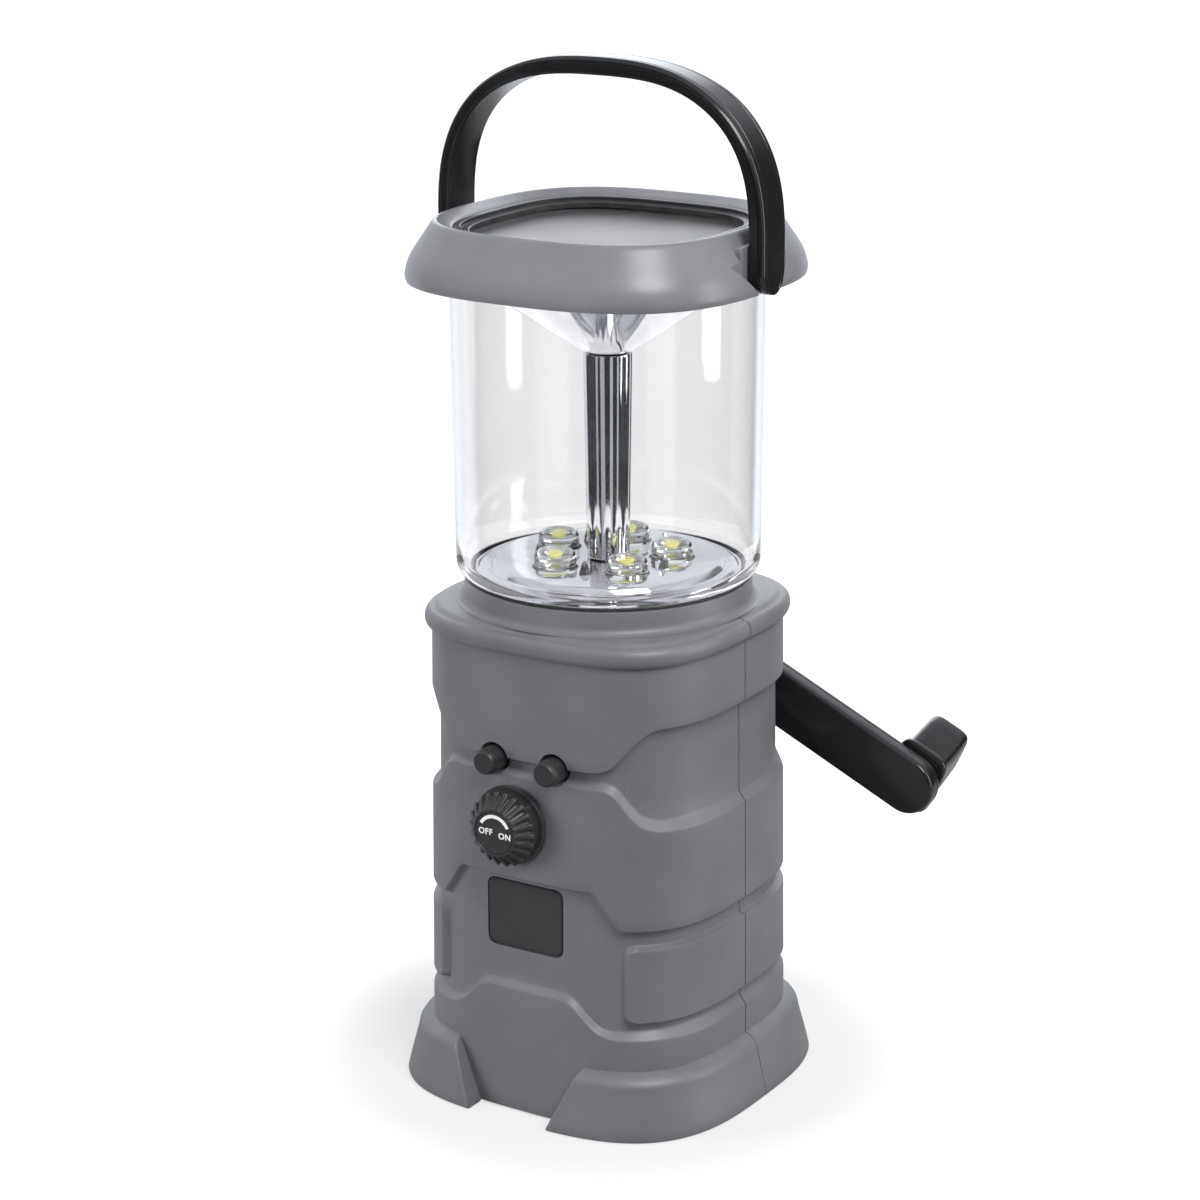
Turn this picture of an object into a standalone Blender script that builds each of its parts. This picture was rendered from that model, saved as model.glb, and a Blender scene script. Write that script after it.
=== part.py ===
"""Hand crank lantern: a solar cap on a clear globe, over a squared body with a dynamo.

Modelled in metres, upright on its feet, with +Z up. The front, with the dial, the buttons
and the port cover, faces -Y. The crank is on the back, and its arm reaches to +X.
"""

import math

import bmesh
import bpy
from mathutils import Matrix, Vector

MM = 0.001

# Fits that every piece shares
GAP = 0.3 * MM
OVERRUN = 4.0 * MM

# Body shells: half widths of the rounded square, and how square it is
BODY_TOP = 106.7 * MM
BODY_HALF_FOOT = 36.0 * MM
BODY_TAPER = 1.2 * MM
BODY_HALF_TOP = BODY_HALF_FOOT - BODY_TAPER
BODY_SQUARENESS = 3.14
BODY_SIDES = 48
RELIEF_DEPTH = 1.6 * MM
SHELL_WALL = 1.8 * MM
SEAM_GAP = 0.3 * MM

# Rim bead and deck on top of the body
BEAD_HEIGHT = 4.0 * MM
BEAD_REACH = 1.4 * MM
BEAD_RISE_AND_REACH_SHARES = ((0.1, 0.7), (0.45, 1.0), (0.8, 0.7), (1.0, 0.0))
DECK_RISE = 4.8 * MM
DECK_TOP = BODY_TOP + DECK_RISE
DECK_THICKNESS = 2.5 * MM
DECK_SETBACK = 1.4 * MM
DECK_HALF = BODY_HALF_TOP - DECK_SETBACK
WIRE_HOLE_RADIUS = 8.0 * MM

# Raised masses of the body: how tall each is, and where its edges run, on the front and the sides
UPPER_MASS_FRONT = 24.3 * MM
UPPER_MASS_SIDE = 14.3 * MM
BAND_FRONT = 3.4 * MM
BAND_SIDE = 23.0 * MM
MIDDLE_MASS_FRONT = 23.8 * MM
MIDDLE_MASS_SIDE = 22.9 * MM
UPPER_EDGE_FRONT = BODY_TOP - UPPER_MASS_FRONT
UPPER_EDGE_SIDE = BODY_TOP - UPPER_MASS_SIDE
UPPER_STEP_FROM = 18.5 * MM
UPPER_STEP_TO = 30.0 * MM
MIDDLE_TOP_FRONT = UPPER_EDGE_FRONT - BAND_FRONT
MIDDLE_TOP_SIDE = UPPER_EDGE_SIDE - BAND_SIDE
MIDDLE_TOP_FROM = 19.5 * MM
MIDDLE_TOP_TO = 29.0 * MM
MIDDLE_LOW_FRONT = MIDDLE_TOP_FRONT - MIDDLE_MASS_FRONT
MIDDLE_LOW_SIDE = MIDDLE_TOP_SIDE - MIDDLE_MASS_SIDE
MIDDLE_LOW_FROM = 15.5 * MM
MIDDLE_LOW_TO = 24.0 * MM
LOWER_TOP_FRONT = 29.3 * MM
LOWER_TOP_SIDE = 21.0 * MM
LOWER_TOP_FROM = 9.8 * MM
LOWER_TOP_TO = 20.0 * MM
PANEL_BELOW_MASS = 3.3 * MM
PANEL_ABOVE_MASS = 4.3 * MM
PANEL_TOP = MIDDLE_LOW_SIDE - PANEL_BELOW_MASS
PANEL_LOW = LOWER_TOP_SIDE + PANEL_ABOVE_MASS
PANEL_FRONT_EDGE = 23.7 * MM
PANEL_CORNER = 2.0 * MM
STEP_POINTS = 5

# Feet: how far they flare, and the slanted ends at the front and back
FOOT_HEIGHT = 14.6 * MM
FOOT_SHOULDER = 3.3 * MM
FOOT_SHOULDER_REACH = 3.0 * MM
FOOT_ROUND_SHARE = 0.82
FOOT_REACH = 5.3 * MM
FOOT_TOE = 0.8 * MM
FOOT_GAP_HALF = 10.0 * MM
FOOT_GAP_TOP_HALF = 16.5 * MM
FOOT_GAP_CENTRE = -1.6 * MM

# Base plate and its screws
BASE_PLATE_THICKNESS = 2.4 * MM
POST_RADIUS = 3.4 * MM
BASE_POST_INSET = 3.54 * MM
BASE_POST_HEIGHT = 11.0 * MM
SCREW_RADIUS = 1.3 * MM
SCREW_HEAD_RADIUS = 2.2 * MM
SCREW_HEAD_HEIGHT = 1.3 * MM
BASE_SCREW_LENGTH = 9.0 * MM
CASE_SCREW_BITE = 8.0 * MM
CASE_POST_INSET = 5.66 * MM
CASE_POST_CLEARANCE = 0.4 * MM
CASE_POST_FRONT_LENGTH = 13.0 * MM
CASE_HEAD_DEPTH = 4.2 * MM

# Lamp house: collar, gasket, globe, tray and lamps
COLLAR_SETBACK = 1.6 * MM
COLLAR_RADIUS = DECK_HALF - COLLAR_SETBACK
COLLAR_WALL = 3.6 * MM
COLLAR_HEIGHT = 4.6 * MM
COLLAR_TOP = DECK_TOP + GAP + COLLAR_HEIGHT
GASKET_THICKNESS = 0.5 * MM
GLOBE_BOTTOM = COLLAR_TOP + 2 * GAP + GASKET_THICKNESS
GLOBE_HEEL_FLARE = 1.8 * MM
GLOBE_FLARE = 0.5 * MM
GLOBE_FOOT_RADIUS = COLLAR_RADIUS
GLOBE_BOTTOM_RADIUS = GLOBE_FOOT_RADIUS + GLOBE_HEEL_FLARE
GLOBE_TOP_RADIUS = GLOBE_BOTTOM_RADIUS + GLOBE_FLARE
GLOBE_WALL = 1.4 * MM
GLOBE_HEIGHT = 68.3 * MM
GLOBE_TOP = GLOBE_BOTTOM + GLOBE_HEIGHT
GLOBE_HEEL = 4.0 * MM
GLOBE_HEEL_OUT_SHARE = 0.68
GLOBE_HEEL_UP_SHARE = 0.30
TRAY_CLEARANCE = 0.4 * MM
TRAY_RIM_RADIUS = GLOBE_FOOT_RADIUS - GLOBE_WALL - TRAY_CLEARANCE
TRAY_RIM_THICKNESS = 0.6 * MM
TRAY_RIM_WIDTH = 5.2 * MM
TRAY_PLATEAU_RADIUS = TRAY_RIM_RADIUS - TRAY_RIM_WIDTH
TRAY_PLATEAU_RISE = 2.0 * MM
TRAY_PLATEAU_THICKNESS = 1.2 * MM
TRAY_RIDGE_RISE = 0.5 * MM
TRAY_RIDGE_STEP = 1.3 * MM
TRAY_CONE_RADIUS = 1.3 * MM
TRAY_CONE_HEIGHT = 3.2 * MM
TRAY_CONE_RING_SHARE = 0.613
TRAY_CONE_SIDES = 8
LAMP_COUNT = 5
LAMP_RING_SHARE = 0.5645
LAMP_FIRST_ANGLE = math.radians(30.4)
LAMP_RADIUS = 4.6 * MM
LAMP_FLANGE_RADIUS = 4.8 * MM
LAMP_FLANGE_HEIGHT = 1.0 * MM
LAMP_HEIGHT = 5.2 * MM
LAMP_ROUND = 1.1 * MM
LAMP_BOARD_THICKNESS = 1.5 * MM

# Reflector: fluted column and the inverted cone over it
COLUMN_BOTTOM_RADIUS = 4.7 * MM
COLUMN_TOP_RADIUS = 5.4 * MM
COLUMN_HEIGHT = 45.8 * MM
COLUMN_FLUTES = 12
COLUMN_FLUTE_DEPTH = 0.35 * MM
CONE_CLEARANCE = 1.3 * MM
CONE_RADIUS = GLOBE_TOP_RADIUS - GLOBE_WALL - CONE_CLEARANCE
CONE_THICKNESS = 1.3 * MM
CONE_RIM_HEIGHT = 1.9 * MM

# Solar cap
CAP_OVER_GLOBE = 2.7 * MM
CAP_BOTTOM = GLOBE_TOP - CAP_OVER_GLOBE
CAP_HEIGHT = 13.0 * MM
CAP_RIM_TOP = CAP_BOTTOM + CAP_HEIGHT
CAP_SQUARENESS = 2.84
CAP_SIDES = 48
CAP_CLEARANCE = 0.7 * MM
CAP_CAVITY_HALF = GLOBE_TOP_RADIUS + CAP_CLEARANCE
CAP_CAVITY_DEPTH = 5.0 * MM
CAP_CAVITY_TOP = CAP_BOTTOM + CAP_CAVITY_DEPTH
CAP_LIP_WALL = 4.6 * MM
CAP_LIP_HALF = CAP_CAVITY_HALF + CAP_LIP_WALL
CAP_LIP_HEIGHT = 1.4 * MM
CAP_BULGE = 0.5 * MM
CAP_BULGE_HALF = CAP_LIP_HALF + CAP_BULGE
CAP_NARROWING = 5.6 * MM
CAP_RIM_HALF = CAP_BULGE_HALF - CAP_NARROWING
CAP_RISE_AND_INWARD_SHARES = (
    (0.0, 0.0), (0.16, 0.11), (0.41, 0.375), (0.67, 0.66), (0.89, 0.875), (1.0, 1.0))
PLATE_THICKNESS = 1.4 * MM
PAD_SETBACK = 2.7 * MM
PAD_FACE = CAP_BULGE_HALF - PAD_SETBACK
PAD_HALF_WIDTH = 7.8 * MM
PAD_BELOW_RIM = 2.7 * MM
PAD_TOP = CAP_RIM_TOP - PAD_BELOW_RIM
SOLAR_SQUARENESS = 3.2
SOLAR_MARGIN = 5.0 * MM
SOLAR_OPENING_HALF = CAP_RIM_HALF - SOLAR_MARGIN
SOLAR_LEDGE_WIDTH = 4.8 * MM
SOLAR_LEDGE_HALF = SOLAR_OPENING_HALF - SOLAR_LEDGE_WIDTH
SOLAR_LEDGE_DEPTH = 6.4 * MM
SOLAR_LEDGE_TOP = CAP_RIM_TOP - SOLAR_LEDGE_DEPTH
SOLAR_PANEL_THICKNESS = 1.2 * MM
SOLAR_WINDOW_THICKNESS = 0.8 * MM
BEZEL_WALL = 1.5 * MM
BEZEL_STEP_HALF = SOLAR_OPENING_HALF - BEZEL_WALL
BEZEL_STEP_WIDTH = 1.6 * MM
BEZEL_INNER_HALF = BEZEL_STEP_HALF - BEZEL_STEP_WIDTH
BEZEL_BELOW_RIM = 1.4 * MM
BEZEL_STEP_DEPTH = 0.9 * MM

# Carrying handle and its pins
HANDLE_PIVOT_RISE = 4.9 * MM
HANDLE_PIVOT_HEIGHT = CAP_BOTTOM + HANDLE_PIVOT_RISE
HANDLE_WIDTH = 10.4 * MM
HANDLE_THICKNESS = 3.6 * MM
HANDLE_LEG_LENGTH = 5.0 * MM
HANDLE_SPRING_HEIGHT = HANDLE_PIVOT_HEIGHT + HANDLE_LEG_LENGTH
HANDLE_ARCH_RISE = 37.0 * MM
HANDLE_TOP = HANDLE_SPRING_HEIGHT + HANDLE_ARCH_RISE
HANDLE_ROUNDNESS = 2.5
HANDLE_POINTS = 14
HANDLE_SWING = math.radians(50.0)
SWING_ROOM = 0.8 * MM
PIN_RADIUS = 1.0 * MM
PIN_HEAD_RADIUS = 1.7 * MM
PIN_HEAD_HEIGHT = 0.9 * MM
PIN_INSIDE_LENGTH = 2.2 * MM

# Dial on the front, its shaft and the potentiometer
DIAL_X = -2.7 * MM
DIAL_BELOW_EDGE = 11.0 * MM
DIAL_HEIGHT = MIDDLE_TOP_FRONT - DIAL_BELOW_EDGE
DIAL_FLANGE_RADIUS = 9.6 * MM
DIAL_FLANGE_THICKNESS = 1.2 * MM
DIAL_DEPTH = 7.0 * MM
DIAL_TOOTH_RADIUS = 8.9 * MM
DIAL_ROOT_RADIUS = 7.4 * MM
DIAL_FACE_RADIUS = 5.8 * MM
DIAL_CHAMFER = 0.5 * MM
DIAL_POINTS_PER_TOOTH = 4
DIAL_TEETH = 22
DIAL_BORE_DEPTH = 4.5 * MM
SPINDLE_RADIUS = 3.0 * MM
SPINDLE_IN_CONTROL = 3.0 * MM
CONTROL_RADIUS = 8.0 * MM

# Push buttons and their switches
BUTTON_PLACE = 7.7 * MM
BUTTON_BELOW_EDGE = 0.4 * MM
BUTTON_HEIGHT = UPPER_EDGE_FRONT - BUTTON_BELOW_EDGE
BUTTON_RADIUS = 2.9 * MM
BUTTON_PROUD = 4.0 * MM
BUTTON_CHAMFER = 0.6 * MM
BUTTON_FLANGE_RADIUS = 3.8 * MM
BUTTON_FLANGE_THICKNESS = 0.8 * MM
BUTTON_TRAVEL = 1.0 * MM
SWITCH_SIZE = 6.0 * MM
SWITCH_PLUNGER_RADIUS = 1.6 * MM
SWITCH_PLUNGER_LENGTH = 1.0 * MM

# Port cover and the sockets behind it
PORT_X = -0.7 * MM
PORT_WIDTH = 19.2 * MM
PORT_TALL = 15.4 * MM
PORT_BELOW_MASS = 1.4 * MM
PORT_LOW = MIDDLE_LOW_FRONT - PORT_BELOW_MASS - PORT_TALL
PORT_CORNER = 2.2 * MM
PORT_COVER_THICKNESS = 1.2 * MM
PORT_FLOOR_THICKNESS = 1.8 * MM
PORT_FRAME_MARGIN = 2.6 * MM
SOCKET_PLACE = 4.6 * MM
USB_PLACE = PORT_X - SOCKET_PLACE
JACK_PLACE = PORT_X + SOCKET_PLACE
USB_WIDTH = 7.6 * MM
USB_TALL = 4.2 * MM
USB_SHELL_THICKNESS = 0.5 * MM
CHARGE_SOCKET_SIZE = 7.0 * MM
CHARGE_HOLE_RADIUS = 1.8 * MM

# Main board
BOARD_THICKNESS = 1.5 * MM
BOARD_SETBACK = 10.2 * MM
BOARD_HALF_WIDTH = 22.0 * MM
BOARD_BELOW_PORT = 2.8 * MM
BOARD_LOW = PORT_LOW - BOARD_BELOW_PORT
BOARD_ABOVE_BUTTONS = 6.0 * MM
BOARD_TOP = BUTTON_HEIGHT + BOARD_ABOVE_BUTTONS

# Battery cells in their holder
CELL_COUNT = 3
CELL_RADIUS = 7.1 * MM
CELL_CLEARANCE = 4.6 * MM
CELL_NUB_RADIUS = 2.6 * MM
CELL_NUB_HEIGHT = 1.4 * MM
HOLDER_WALL = 1.2 * MM
HOLDER_Y = 4.5 * MM
HOLDER_OPEN_SHARE = 0.45

# Crank shaft, gear train and dynamo
SHAFT_RADIUS = 3.0 * MM
GEAR_FRAME_INSET = 10.85 * MM
GEAR_FRAME_HALF = BODY_HALF_FOOT - GEAR_FRAME_INSET
GEAR_FRAME_CLEARANCE = 0.77 * MM
GEAR_FRAME_PLATE = 1.5 * MM
GEAR_FRAME_TOP_MARGIN = 1.2 * MM
GEAR_FRAME_LOW_MARGIN = 3.4 * MM
GEAR_POST_RADIUS = 1.6 * MM
GEAR_POST_EDGE = 0.4 * MM
GEAR_RUN_GAP = 0.5 * MM
CRANK_GEAR_TEETH = 40
IDLER_PINION_TEETH = 10
IDLER_GEAR_TEETH = 32
ROTOR_PINION_TEETH = 8
SECOND_MODULE_SHARE = 6.0 / 7.0
GEAR_FACE = 3.6 * MM
IDLER_DIRECTION = math.radians(-50.0)
IDLER_AXLE_RADIUS = 1.0 * MM
ROTOR_SHAFT_RADIUS = 1.0 * MM
TOOTH_ROOT_SHARE = 1.15
TOOTH_TIP_SHARE = 0.9
TOOTH_FOOT_HALF_SHARE = 0.58
TOOTH_TIP_HALF_SHARE = 0.16

# Tooth sizes from the width that the gear frame has, and the crank under the deck
TRAIN_REACH = GEAR_FRAME_HALF - GEAR_RUN_GAP - 2.0 * GEAR_POST_RADIUS
FIRST_REACH = (CRANK_GEAR_TEETH + IDLER_PINION_TEETH) / 2.0 * math.cos(IDLER_DIRECTION)
SECOND_REACH = (IDLER_GEAR_TEETH / 2.0 + 1.0) * SECOND_MODULE_SHARE
FIRST_MODULE = TRAIN_REACH / (FIRST_REACH + SECOND_REACH)
SECOND_MODULE = FIRST_MODULE * SECOND_MODULE_SHARE
CRANK_GEAR_RADIUS = (CRANK_GEAR_TEETH / 2.0 + TOOTH_TIP_SHARE) * FIRST_MODULE
CRANK_GEAR_CLEARANCE = 3.97 * MM
CRANK_HEIGHT = DECK_TOP - DECK_THICKNESS - CRANK_GEAR_CLEARANCE - CRANK_GEAR_RADIUS

# Dynamo
STATOR_RADIUS = 14.6 * MM
STATOR_WALL = 2.2 * MM
STATOR_LENGTH = 16.0 * MM
ROTOR_RADIUS = 11.4 * MM

# Bush, crank arm and knob
BOSS_RADIUS = 8.6 * MM
BOSS_PROUD = 1.23 * MM
BUSH_RADIUS = 5.2 * MM
BUSH_FLANGE_RADIUS = 6.6 * MM
BUSH_FLANGE_THICKNESS = 0.8 * MM
ARM_THICKNESS = 5.5 * MM
ARM_RADIUS = 6.75 * MM
ARM_LENGTH = 60.8 * MM
ARM_DIRECTION = math.radians(-24.8)
ARM_BORE_SHARE = 0.7
ARM_BEVEL = 1.0 * MM
ARM_END_STEPS = 12
KNOB_PIN_RADIUS = 1.5 * MM
KNOB_PIN_LENGTH = 12.0 * MM
KNOB_PIN_BED = 1.9 * MM
KNOB_FLANGE_THICKNESS = 1.6 * MM
KNOB_LENGTH = 14.4 * MM
KNOB_FLANGE_HALVES = (6.3 * MM, 7.1 * MM)
KNOB_FLANGE_OFFSET = (-0.8 * MM, 0.7 * MM)
KNOB_TIP_HALVES = (5.4 * MM, 5.2 * MM)
KNOB_TIP_OFFSET = (-1.9 * MM, 4.7 * MM)
KNOB_GRIP_INSET = 0.8 * MM
KNOB_TIP_ROUND_SHARE = 0.86
KNOB_TIP_FROM_SHARE = 0.92
KNOB_SQUARENESS = 5.0
KNOB_SIDES = 24

# Facets on round pieces
ROUND_SIDES = 24
SMALL_SIDES = 12
GLOBE_SIDES = 36
LAMP_SIDES = 16
CELL_SIDES = 20


def body_half(height):
    """Half width of the body's rounded square at a height."""
    share = height / BODY_TOP
    return BODY_HALF_FOOT + (BODY_HALF_TOP - BODY_HALF_FOOT) * share


def rounded_square(half, squareness, sides):
    """Corners of a rounded square of a half width, from +X and turning to +Y."""
    points = []
    for index in range(sides):
        angle = 2.0 * math.pi * index / sides
        cosine, sine = math.cos(angle), math.sin(angle)
        radius = half * (abs(cosine) ** squareness + abs(sine) ** squareness) ** (-1.0 / squareness)
        points.append((radius * cosine, radius * sine))
    return points


def circle(radius, sides):
    """Corners of a circle, from +X and turning to +Y."""
    return rounded_square(radius, 2.0, sides)


def depth_on_body(x, half):
    """Distance from the middle plane to the body's skin at x, for a half width."""
    return half * (1.0 - (abs(x) / half) ** BODY_SQUARENESS) ** (1.0 / BODY_SQUARENESS)


def add_object(name, bm):
    """Turn a bmesh into an object of that name, with its faces pointing out."""
    bmesh.ops.recalc_face_normals(bm, faces=bm.faces[:])
    mesh = bpy.data.meshes.new(name)
    bm.to_mesh(mesh)
    bm.free()
    piece = bpy.data.objects.new(name, mesh)
    bpy.context.scene.collection.objects.link(piece)
    return piece


def loft(name, rings):
    """Closed solid through rings of equally many points, with flat ends."""
    bm = bmesh.new()
    loops = [[bm.verts.new(point) for point in ring] for ring in rings]
    for lower, upper in zip(loops, loops[1:]):
        for index, corner in enumerate(lower):
            after = (index + 1) % len(lower)
            bm.faces.new((corner, lower[after], upper[after], upper[index]))
    bm.faces.new(list(reversed(loops[0])))
    bm.faces.new(loops[-1])
    return add_object(name, bm)


def stack(name, sections, squareness, sides):
    """Solid of rounded squares, one for each (height, half width)."""
    rings = []
    for height, half in sections:
        rings.append([(x, y, height) for x, y in rounded_square(half, squareness, sides)])
    return loft(name, rings)


def prism(name, outline, low, high):
    """Solid with an outline in X and Y, between two heights."""
    return loft(name, [[(x, y, level) for x, y in outline] for level in (low, high)])


def box(name, low, high):
    """Block between two opposite corners."""
    outline = [(low[0], low[1]), (high[0], low[1]), (high[0], high[1]), (low[0], high[1])]
    return prism(name, outline, low[2], high[2])


def cylinder(name, radius, low, high, sides=ROUND_SIDES):
    """Upright cylinder between two heights."""
    return prism(name, circle(radius, sides), low, high)


def turned(name, profile, sides=ROUND_SIDES):
    """Solid turned round Z from a closed profile of (radius, height) points.

    A profile that touches the axis has its points there at radius zero.
    """
    bm = bmesh.new()
    columns = []
    for radius, height in profile:
        if radius == 0:
            columns.append([bm.verts.new((0, 0, height))] * sides)
        else:
            columns.append([bm.verts.new((x, y, height)) for x, y in circle(radius, sides)])
    for first, second in zip(columns, columns[1:] + columns[:1]):
        for index in range(sides):
            after = (index + 1) % sides
            corners = [first[index], first[after], second[after], second[index]]
            face = list(dict.fromkeys(corners))
            if len(face) > 2:
                bm.faces.new(face)
    return add_object(name, bm)


def ring(name, outer, inner, low, high, sides=ROUND_SIDES):
    """Round tube between two radii and two heights."""
    return turned(name, [(outer, low), (outer, high), (inner, high), (inner, low)], sides)


def place(piece, turn, spot=(0, 0, 0)):
    """Turn and move a piece's mesh, and give the piece back."""
    piece.data.transform(Matrix.Translation(Vector(spot)) @ turn)
    return piece


def combine(target, tool, operation):
    """Apply an exact Boolean of a tool to a piece, and delete the tool."""
    modifier = target.modifiers.new("combine", "BOOLEAN")
    modifier.operation = operation
    modifier.solver = "EXACT"
    modifier.object = tool
    depsgraph = bpy.context.evaluated_depsgraph_get()
    result = bpy.data.meshes.new_from_object(target.evaluated_get(depsgraph))
    target.modifiers.clear()
    target.data = result
    bpy.data.objects.remove(tool)
    return target


def cut(target, *tools):
    """Take tools away from a piece."""
    for tool in tools:
        combine(target, tool, "DIFFERENCE")
    return target


def join(target, *others):
    """Unite other solids with a piece."""
    for other in others:
        combine(target, other, "UNION")
    return target


# Turns that lay a piece built along Z along another axis
UPRIGHT = Matrix.Identity(4)
TO_FRONT = Matrix.Rotation(math.radians(90), 4, "X")
TO_BACK = Matrix.Rotation(math.radians(-90), 4, "X")
TO_RIGHT = Matrix.Rotation(math.radians(90), 4, "Y")
TO_LEFT = Matrix.Rotation(math.radians(-90), 4, "Y")
OVER = Matrix.Rotation(math.radians(180), 4, "X")


def along_depth(name, outline, near, far):
    """Solid with an outline in X and Z, from one depth (Y) to another."""
    return loft(name, [[(x, level, z) for x, z in outline] for level in (near, far)])


def along_width(name, outline, left, right):
    """Solid with an outline in Y and Z, from one X to another."""
    return loft(name, [[(level, y, z) for y, z in outline] for level in (left, right)])


def rounded_box_outline(left, low, right, high, corner):
    """Rectangle with round corners of three points each."""
    points = []
    centres = ((right, high, 0), (left, high, 1), (left, low, 2), (right, low, 3))
    for x, z, quarter in centres:
        sign_x = 1 if x == right else -1
        sign_z = 1 if z == high else -1
        for step in range(3):
            angle = math.radians(90 * quarter + 45 * step)
            points.append((x - sign_x * corner + corner * math.cos(angle),
                           z - sign_z * corner + corner * math.sin(angle)))
    return points


# Surfaces and materials

def surface(name, colour, roughness, metallic=0.0, transmission=0.0):
    """Plain material with a colour, a roughness and a metallic value."""
    material = bpy.data.materials.new(name)
    material.use_nodes = True
    shader = material.node_tree.nodes["Principled BSDF"]
    shader.inputs["Base Color"].default_value = (*colour, 1.0)
    shader.inputs["Roughness"].default_value = roughness
    shader.inputs["Metallic"].default_value = metallic
    shader.inputs["Transmission Weight"].default_value = transmission
    material.diffuse_color = (*colour, 1.0)
    return material


def make_surfaces():
    """Every finish of the lantern by name."""
    return {
        "grey": surface("grey_plastic", (0.165, 0.170, 0.180), 0.50),
        "cap_grey": surface("cap_plastic", (0.195, 0.200, 0.215), 0.38),
        "gloss": surface("gloss_black_plastic", (0.012, 0.012, 0.013), 0.22),
        "black": surface("matt_black_plastic", (0.020, 0.020, 0.021), 0.55),
        "rubber": surface("black_rubber", (0.018, 0.018, 0.018), 0.75),
        "clear": surface("clear_plastic", (0.95, 0.96, 0.97), 0.05, 0.0, 1.0),
        "chrome": surface("chromed_plastic", (0.82, 0.82, 0.84), 0.08, 1.0),
        "steel": surface("bright_steel", (0.60, 0.60, 0.60), 0.35, 1.0),
        "brass": surface("brass", (0.70, 0.52, 0.22), 0.35, 1.0),
        "lamp": surface("clear_lamp", (0.90, 0.92, 0.80), 0.05, 0.0, 0.8),
        "solar": surface("solar_cells", (0.105, 0.080, 0.080), 0.30),
        "board": surface("circuit_board", (0.03, 0.16, 0.06), 0.50),
        "cell": surface("battery_sleeve", (0.05, 0.16, 0.33), 0.45),
        "white": surface("white_plastic", (0.75, 0.75, 0.73), 0.45),
    }


def dress(piece, material, pivot=None):
    """Give a piece its material and smooth shading, and its origin on its pivot."""
    piece.data.materials.clear()
    piece.data.materials.append(material)
    piece.data.shade_smooth()
    piece.data.set_sharp_from_angle(angle=math.radians(35))
    if pivot is not None:
        piece.data.transform(Matrix.Translation(-Vector(pivot)))
        piece.location = pivot
    return piece


# Body shells

def stepped_edge(front, side, step_from, step_to):
    """Points of a mass's edge across the front: flat, then an eased step at each corner."""
    reach = BODY_HALF_FOOT + FOOT_REACH + OVERRUN
    half = [(reach, side)]
    for index in range(STEP_POINTS + 1):
        share = 1.0 - index / STEP_POINTS
        x = step_from + (step_to - step_from) * share
        eased = (1.0 - math.cos(math.pi * share)) / 2.0
        half.append((x, front + (side - front) * eased))
    return half + [(-x, z) for x, z in reversed(half)]


def skin_cutter(name, outline):
    """What a recess of that outline takes from the skin, all round the body."""
    reach = BODY_HALF_FOOT + FOOT_REACH + OVERRUN
    slab = along_depth(name, outline, -reach, reach)
    sections = [(-OVERRUN, body_half(-OVERRUN) - RELIEF_DEPTH),
                (BODY_TOP + OVERRUN, body_half(BODY_TOP + OVERRUN) - RELIEF_DEPTH)]
    core = stack("core", sections, BODY_SQUARENESS, BODY_SIDES)
    return cut(slab, core)


def panel_outline(side):
    """Raised side panel as seen from the front: +1 is the right side, -1 the left."""
    reach = BODY_HALF_FOOT + FOOT_REACH + OVERRUN
    outer = reach + OVERRUN
    outline = rounded_box_outline(PANEL_FRONT_EDGE, PANEL_LOW, outer, PANEL_TOP, PANEL_CORNER)
    return [(side * x, z) for x, z in outline]


def feet_solid():
    """Both flared feet, each from its slanted front end round the side to the back."""
    top = FOOT_HEIGHT
    shoulder = top - FOOT_SHOULDER
    sections = (
        (0, FOOT_REACH - FOOT_TOE / 2.0),
        (FOOT_TOE, FOOT_REACH),
        (shoulder, FOOT_SHOULDER_REACH),
        (shoulder + FOOT_SHOULDER / 2.0, FOOT_SHOULDER_REACH * FOOT_ROUND_SHARE),
        (top, -SHELL_WALL),
    )
    flare = stack("flare", [(z, body_half(z) + reach) for z, reach in sections],
                  BODY_SQUARENESS, BODY_SIDES)
    reach = BODY_HALF_FOOT + FOOT_REACH + OVERRUN
    slope = (FOOT_GAP_TOP_HALF - FOOT_GAP_HALF) / FOOT_HEIGHT
    low_half = FOOT_GAP_HALF - slope * OVERRUN
    high_half = FOOT_GAP_TOP_HALF + slope * OVERRUN
    notch = [
        (FOOT_GAP_CENTRE - low_half, -OVERRUN),
        (FOOT_GAP_CENTRE + low_half, -OVERRUN),
        (FOOT_GAP_CENTRE + high_half, top + OVERRUN),
        (FOOT_GAP_CENTRE - high_half, top + OVERRUN),
    ]
    return cut(flare, along_depth("foot_gap", notch, -reach, reach))


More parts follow.
